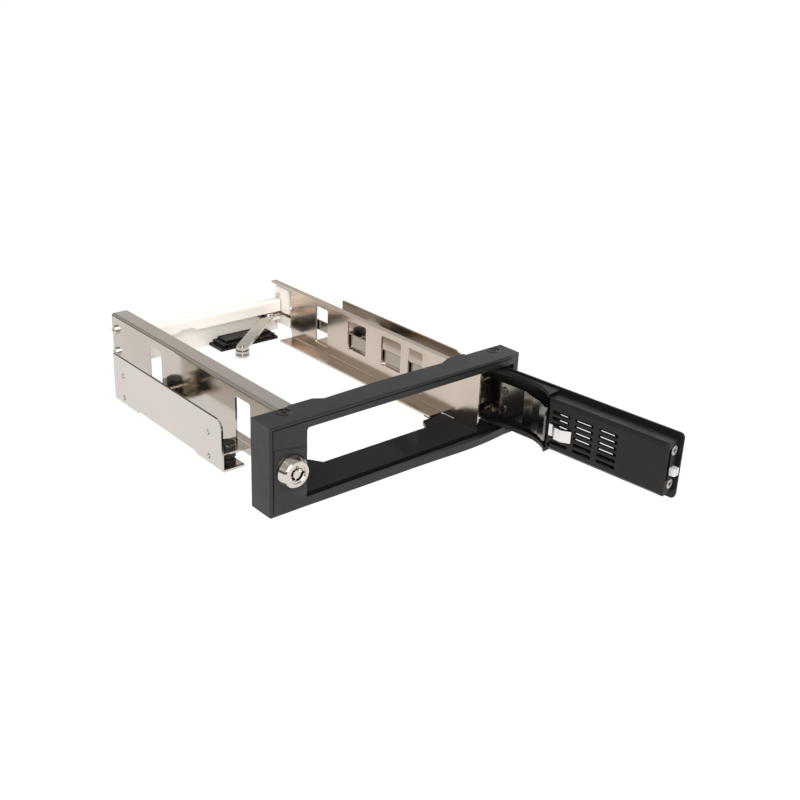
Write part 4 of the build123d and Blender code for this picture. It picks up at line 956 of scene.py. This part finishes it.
@dataclass
class BoardParts:
    """Solder joints and small components on the rear face of the board."""

    rear: float = 179.1
    joint_rows: tuple[tuple[float, float, int, float], ...] = ((4.0, 21.8, 11, 1.27), (19.0, 21.8, 8, 1.27))
    joint_radius: float = 0.45
    joint_root: float = 0.35
    domes: tuple[Limits, ...] = ((0.16, 0.16), (0.12, 0.14))
    capacitors: tuple[tuple[float, float], ...] = ((-4.6, 12.0), (-4.6, 15.0), (47.6, 20.5))
    chip: tuple[float, float, float] = (1.1, 0.75, 1.0)
    chip_end: tuple[float, float, float] = (0.45, 0.8, 1.1)
    end_apart: float = 1.45

    def joints(self) -> None:
        """Rows of domed solder joints over the sockets."""
        left, height, _, _ = self.joint_rows[0]
        middle = (left, self.rear + 0.1, height)
        first = add_round("solder_joints", self.joint_radius, self.joint_root, middle, Axis.Y, 12)
        choose(first, lambda spot, normal: normal.y > 0.5)
        for inset, rise in self.domes:
            bpy.ops.mesh.inset(thickness=inset * MM)
            bpy.ops.transform.translate(value=(0.0, rise * MM, 0.0))
        leave()
        row = [first]
        for start, z, count, pitch in self.joint_rows:
            for index in range(count):
                if (start, index) != (left, 0):
                    row.append(copy_of(first, "joint", shift(start - left + index * pitch, 0.0, z - height)))
        whole = join(row, "solder_joints")
        bpy.ops.object.shade_smooth_by_angle(angle=math.radians(60))
        dress(whole, SOLDER, Body.CHASSIS)

    def components(self) -> None:
        """Ceramic capacitors with tinned ends."""
        x, z = self.capacitors[0]
        long, deep, high = self.chip
        width = (x - long / 2, x + long / 2)
        body = add_block("board_capacitors", width, (self.rear, self.rear + deep), (z - high / 2, z + high / 2))
        soften(body, 0.08, 2)
        long, deep, high = self.chip_end
        start = x - (self.end_apart + long) / 2
        width = (start, start + long)
        end = add_block("capacitor_ends", width, (self.rear, self.rear + deep), (z - high / 2, z + high / 2))
        soften(end, 0.1, 2)
        bodies = [body]
        ends = [end, copy_of(end, "end", shift(self.end_apart))]
        for other_x, other_z in self.capacitors[1:]:
            bodies.append(copy_of(body, "capacitor", shift(other_x - x, 0.0, other_z - z)))
            for moved in (0.0, self.end_apart):
                ends.append(copy_of(end, "end", shift(other_x - x + moved, 0.0, other_z - z)))
        dress(join(bodies, "board_capacitors"), CHIP_TAN, Body.CHASSIS)
        dress(join(ends, "capacitor_ends"), SOLDER, Body.CHASSIS)

    def build(self) -> None:
        """Build joints and components."""
        self.joints()
        self.components()


@dataclass
class PowerPins:
    """Tinned sleeves on the four pins of the power socket."""

    centre: tuple[float, float] = (34.0, 13.0)
    pitch: float = 5.08
    start: float = 180.7
    end: float = 187.25
    radius: float = 1.06
    count: int = 4
    tip: tuple[float, float, float] = (0.3, 0.25, 0.7)

    def build(self) -> None:
        """Model one sleeve with a rounded tip and copy it."""
        first_x = self.centre[0] - (self.count - 1) / 2 * self.pitch
        inset, rise, taper = self.tip
        middle = (first_x, (self.start + self.end) / 2, self.centre[1])
        first = add_round("power_pins", self.radius, self.end - self.start, middle, Axis.Y, 24)
        choose(first, lambda spot, normal: normal.y > 0.5)
        bpy.ops.mesh.inset(thickness=inset * MM)
        bpy.ops.mesh.extrude_region_move(TRANSFORM_OT_translate={"value": (0.0, rise * MM, 0.0)})
        bpy.ops.transform.resize(value=(taper, 1.0, taper))
        leave()
        soften(first, 0.12, 2)
        sleeves = row_of(first, "pin", self.pitch, self.count)
        dress(join(sleeves, "power_pins"), SOLDER, Body.CHASSIS)


@dataclass
class BayThreads:
    """Formed and tapped collars in the eight screw holes of the bay brackets."""

    side: float = 73.0
    first_y: float = 50.3
    low_z: float = 9.2
    pitch: tuple[float, float] = (79.25, 11.84)
    hole: float = 1.6
    core: float = 1.32
    length: float = 1.5
    turns: int = 4
    lap: float = 0.04
    land: float = 0.06

    def ring(self) -> Piece:
        """Threaded lining of one hole, spun from its toothed section.

        Returns:
            The lining of the front lower hole on the right.
        """
        tooth = self.length / self.turns
        inner = self.side - self.length
        line = [(inner, self.hole + self.lap)]
        for index in range(self.turns):
            line.append((inner + index * tooth, self.hole - self.land))
            line.append((inner + (index + 0.5) * tooth, self.core))
        line += [(self.side, self.hole - self.land), (self.side, self.hole + self.lap)]
        points = [(x, self.first_y, self.low_z + radius) for x, radius in line]
        return add_spun("bay_threads", points, (0.0, self.first_y, self.low_z), Axis.X, 24)

    def build(self) -> None:
        """Copy the lining to all eight holes."""
        first = self.ring()
        row = [first]
        for column in range(2):
            for line in range(2):
                for turned in (False, True):
                    if (column, line, turned) == (0, 0, False):
                        continue
                    move = shift(0.0, column * self.pitch[0], line * self.pitch[1])
                    made = copy_of(first, "thread", move)
                    if turned:
                        centre = shift(0.0, self.first_y + column * self.pitch[0])
                        made.data.transform(centre @ Matrix.Rotation(math.pi, 4, "Z") @ centre.inverted())
                    row.append(made)
        whole = join(row, "bay_threads")
        bpy.ops.object.shade_smooth_by_angle(angle=math.radians(40))
        dress(whole, SCREW_NICKEL, Body.CHASSIS)


@dataclass
class ScrewRims:
    """Pressed rims round the two screws in the bezel's top wall."""

    spots: tuple[tuple[float, float], ...] = ((-59.8, 10.3), (65.4, 10.3))
    top: float = 42.0
    section: tuple[tuple[float, float], ...] = (
        (2.75, -0.1), (2.75, 0.18), (2.95, 0.3), (3.25, 0.26), (3.55, 0.05), (3.55, -0.1),
    )

    def build(self) -> None:
        """Spin one rim from its section and copy it."""
        x, y = self.spots[0]
        points = [(x + radius, y, self.top + rise) for radius, rise in self.section]
        first = add_spun("screw_rims", points, (x, y, 0.0), Axis.Z, 48)
        other = self.spots[1]
        whole = join([first, copy_of(first, "rim", shift(other[0] - x, other[1] - y))], "screw_rims")
        bpy.ops.object.shade_smooth_by_angle(angle=math.radians(50))
        dress(whole, SCREW_BLACK, Body.CHASSIS)


@dataclass
class DoorDetail:
    """Small features of the door: a detent on the cover, ribs on the latch's tab and painted shade in the end screws'
    cross recess.
    """

    place: DoorPlace = field(default_factory=DoorPlace)
    detent_x: Limits = (-40.3, -37.7)
    detent_y: Limits = (5.4, 7.2)
    detent_z: Limits = (34.0, 34.85)
    tab_x: Limits = (-47.0, -44.0)
    tab_z: Limits = (18.0, 21.5)
    rib_count: int = 3
    rib_y: Limits = (-1.05, -0.7)
    rib_inset: float = 0.3
    screw_face: float = -51.65
    screw_spots: tuple[tuple[float, float], ...] = ((6.0, 13.0), (6.0, 29.3))
    recess: float = 1.9
    recess_bar: float = 0.6

    def bump(self) -> None:
        """Low rounded detent on the cover's upper side."""
        piece = add_block("cover_detent", self.detent_x, self.detent_y, self.detent_z)
        choose(piece, lambda middle, normal: normal.z > 0.5)
        bpy.ops.transform.resize(value=(0.6, 0.6, 1.0))
        leave()
        soften(piece, 0.25, 3)
        dress(self.place.open(piece), DOOR_BLACK, Body.DOOR)

    def ribs(self) -> None:
        """Grip ribs across the finger tab."""
        width = (self.tab_x[1] - self.tab_x[0]) / (2 * self.rib_count)
        first_x = self.tab_x[0] + width / 2
        height = (self.tab_z[0] + self.rib_inset, self.tab_z[1] - self.rib_inset)
        first = add_block("latch_ribs", (first_x, first_x + width), self.rib_y, height)
        choose(first, lambda middle, normal: normal.y < -0.5)
        bpy.ops.transform.resize(value=(0.5, 1.0, 0.9))
        leave()
        soften(first, 0.08, 2)
        ribs = row_of(first, "rib", 2 * width, self.rib_count)
        dress(self.place.open(join(ribs, "latch_ribs")), LATCH_WHITE, Body.LATCH)

    def recess_shade(self) -> None:
        """Dark cross-shaped blocks on the heads of the two end screws, painting the shade of each head's cross recess.
        """
        bars = []
        face = (self.screw_face - 0.05, self.screw_face + 0.3)
        for y, z in self.screw_spots:
            for wide, high in ((self.recess, self.recess_bar), (self.recess_bar, self.recess)):
                # Each bar is a dark block just proud of the head: painted shade of the cross recess.
                bar = add_block("end_recess_shade", face, (y - wide / 2, y + wide / 2), (z - high / 2, z + high / 2))
                soften(bar, 0.04, 1)
                bars.append(bar)
        dress(self.place.open(join(bars, "end_recess_shade")), PIN_DARK_AND_RECESS_SHADE, Body.DOOR)

    def build(self) -> None:
        """Build the mouldings and the painted recess shade."""
        self.bump()
        self.ribs()
        self.recess_shade()


# Studio


@dataclass
class Studio:
    """Camera, floor, world and lamps."""

    target: tuple[float, float, float] = (49.689, 60.0, 1.4)
    azimuth: float = -41.689
    elevation: float = 23.839
    roll: float = 2.517
    distance: float = 577.49
    lens: float = 49.2027
    sensor: float = 36.0
    foot_front: tuple[float, float] = (14.0, 0.0)
    foot_rear: tuple[float, float] = (161.0, 4.0)
    floor_size: float = 40.0
    floor_glow: float = 0.93
    floor_strength: float = 1.04
    floor_grey: float = 0.9
    floor_roughness: float = 0.8
    floor_specular: float = 0.1
    floor_gap: float = 0.1
    fall_off: Limits = (0.3, 0.65)
    far_glow: float = 0.12
    sky: tuple[tuple[float, Colour], ...] = (
        (0.14, (0.1, 0.095, 0.09)),
        (0.3, (0.75, 0.74, 0.72)),
        (0.5, (0.42, 0.41, 0.4)),
    )
    fill: float = 0.74
    aim: tuple[float, float, float] = (0.0, 0.07, 0.02)
    lamps: tuple[tuple[str, tuple[float, float, float], float, float], ...] = (
        ("key_lamp", (-0.55, -0.5, 0.95), 0.9, 7.0),
        ("side_lamp", (0.9, 0.3, 0.8), 0.8, 2.4),
        ("front_lamp", (-0.62, -0.72, 0.5), 0.5, 3.8),
    )

    def camera(self) -> None:
        """Camera fitted to the photograph's view."""
        azimuth, elevation, roll = (math.radians(part) for part in (self.azimuth, self.elevation, self.roll))
        level = math.cos(elevation)
        back = Vector((math.sin(azimuth) * level, -math.cos(azimuth) * level, math.sin(elevation)))
        right = Vector((math.cos(azimuth), math.sin(azimuth), 0.0))
        above = back.cross(right)
        turned = math.cos(roll) * right + math.sin(roll) * above
        rise = math.cos(roll) * above - math.sin(roll) * right
        data = bpy.data.cameras.new("camera")
        data.lens = self.lens
        data.sensor_width = self.sensor
        data.clip_start = 0.01
        camera = bpy.data.objects.new("camera", data)
        bpy.context.scene.collection.objects.link(camera)
        place = Matrix((turned, rise, back)).transposed().to_4x4()
        place.translation = (Vector(self.target) + back * self.distance) * MM
        camera.matrix_world = place
        bpy.context.scene.camera = camera

    def seen_directly(self, nodes: Nodes) -> Socket:
        """Value that is 1 for camera, glossy and transmitted rays.

        Args:
            nodes: Nodes to add it to.

        Returns:
            The value.
        """
        path = nodes.node("LightPath")
        total = path.outputs["Is Camera Ray"]
        for name in ("Is Glossy Ray", "Is Transmission Ray"):
            total = nodes.math("MAXIMUM", total, path.outputs[name])
        return total

    def world(self) -> None:
        """Backdrop that is white to the camera and banded in reflections, and an even fill light."""
        world = bpy.data.worlds.new("studio")
        world.use_nodes = True
        bpy.context.scene.world = world
        nodes = Nodes(world.node_tree)
        nodes.tree.nodes.clear()
        fill = nodes.node("Background")
        nodes.feed(WHITE, fill.inputs["Color"])
        nodes.feed(self.fill, fill.inputs["Strength"])
        direction = nodes.node("TexCoord")
        height = nodes.node("SeparateXYZ")
        nodes.link(direction.outputs["Generated"], height.inputs[0])
        ramp = nodes.node("ValToRGB")
        nodes.link(height.outputs["Z"], ramp.inputs["Fac"])
        stops = ramp.color_ramp.elements
        stops.new(self.sky[-1][0])
        for stop, (position, colour) in zip(stops, self.sky):
            stop.position = position
            stop.color = (*colour, 1.0)
        seen = nodes.node("Background")
        camera_ray = nodes.node("LightPath").outputs["Is Camera Ray"]
        nodes.link(nodes.tint(camera_ray, ramp.outputs["Color"], WHITE[:3]), seen.inputs["Color"])
        surface = nodes.mixed(self.seen_directly(nodes), fill.outputs[0], seen.outputs[0])
        nodes.link(surface, nodes.node("OutputWorld").inputs["Surface"])

    def floor_light(self, made: Graph) -> Socket:
        """Strength of the floor's white, which falls off far from the rack in reflections.

        Args:
            made: Graph of the floor's material.

        Returns:
            The strength.
        """
        length = made.node("VectorMath", operation="LENGTH")
        made.link(made.coordinates.outputs["Object"], length.inputs[0])
        reflected = made.ranged(length.outputs["Value"], self.fall_off, (1.0, self.far_glow))
        return made.blend(made.node("LightPath").outputs["Is Camera Ray"], reflected, self.floor_strength)

    def floor(self) -> None:
        """White floor through the rack's two lines of support."""
        made = Graph("floor_white")
        made.feed((*(self.floor_grey,) * 3, 1.0), made.shader.inputs["Base Color"])
        made.feed(self.floor_roughness, made.shader.inputs["Roughness"])
        made.feed(self.floor_specular, made.shader.inputs["Specular IOR Level"])
        glow = made.node("Emission")
        made.link(self.floor_light(made), glow.inputs["Strength"])
        share = made.math("MULTIPLY", self.seen_directly(made), self.floor_glow)
        surface = made.mixed(share, made.shader.outputs[0], glow.outputs[0])
        made.link(surface, made.tree.nodes["Material Output"].inputs["Surface"])
        clear_selection()
        bpy.ops.mesh.primitive_plane_add(size=self.floor_size)
        plane = bpy.context.object
        plane.name = "floor"
        run = Vector(self.foot_rear) - Vector(self.foot_front)
        plane.location = Vector((0.0, self.foot_front[0], self.foot_front[1] - self.floor_gap)) * MM
        plane.rotation_euler = (math.atan2(run.y, run.x), 0.0, 0.0)
        settle(plane)
        plane.data.materials.append(made.material)

    def lamp(self, name: str, place: Sequence[float], size: float, power: float) -> None:
        """Soft square lamp aimed at the rack.

        Args:
            name: Name of the lamp.
            place: Place in metres.
            size: Side of the lamp in metres.
            power: Power in watts.
        """
        data = bpy.data.lights.new(name, "AREA")
        data.size = size
        data.energy = power
        lamp = bpy.data.objects.new(name, data)
        bpy.context.scene.collection.objects.link(lamp)
        lamp.location = place
        lamp.rotation_euler = (Vector(self.aim) - Vector(place)).to_track_quat("-Z", "Y").to_euler()

    def build(self) -> None:
        """Set up the whole studio."""
        self.camera()
        self.world()
        self.floor()
        for lamp in self.lamps:
            self.lamp(*lamp)
        bpy.context.scene.view_settings.view_transform = "Standard"


def dress_nodes() -> None:
    """Give every CAD node its finish."""
    for finish, names in NODE_FINISHES.items():
        for name in names:
            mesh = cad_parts[name].data
            mesh.materials.clear()
            mesh.materials.append(FINISHES.get(finish))
            LOG.info("%s: %s", name, FINISHES.get(finish).name)


def main() -> None:
    """Dress the rack, build its small fittings and set up the studio."""
    logging.basicConfig(level=logging.INFO, format="%(name)s: %(message)s")
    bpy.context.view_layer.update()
    dress_nodes()
    assemblies = (
        LockDetail(), ConnectorContacts(), BoardParts(), PowerPins(), BayThreads(), ScrewRims(), DoorDetail(),
    )
    for assembly in assemblies:
        assembly.build()
    Studio().build()
    clear_selection()


if __name__ == "__main__":
    main()
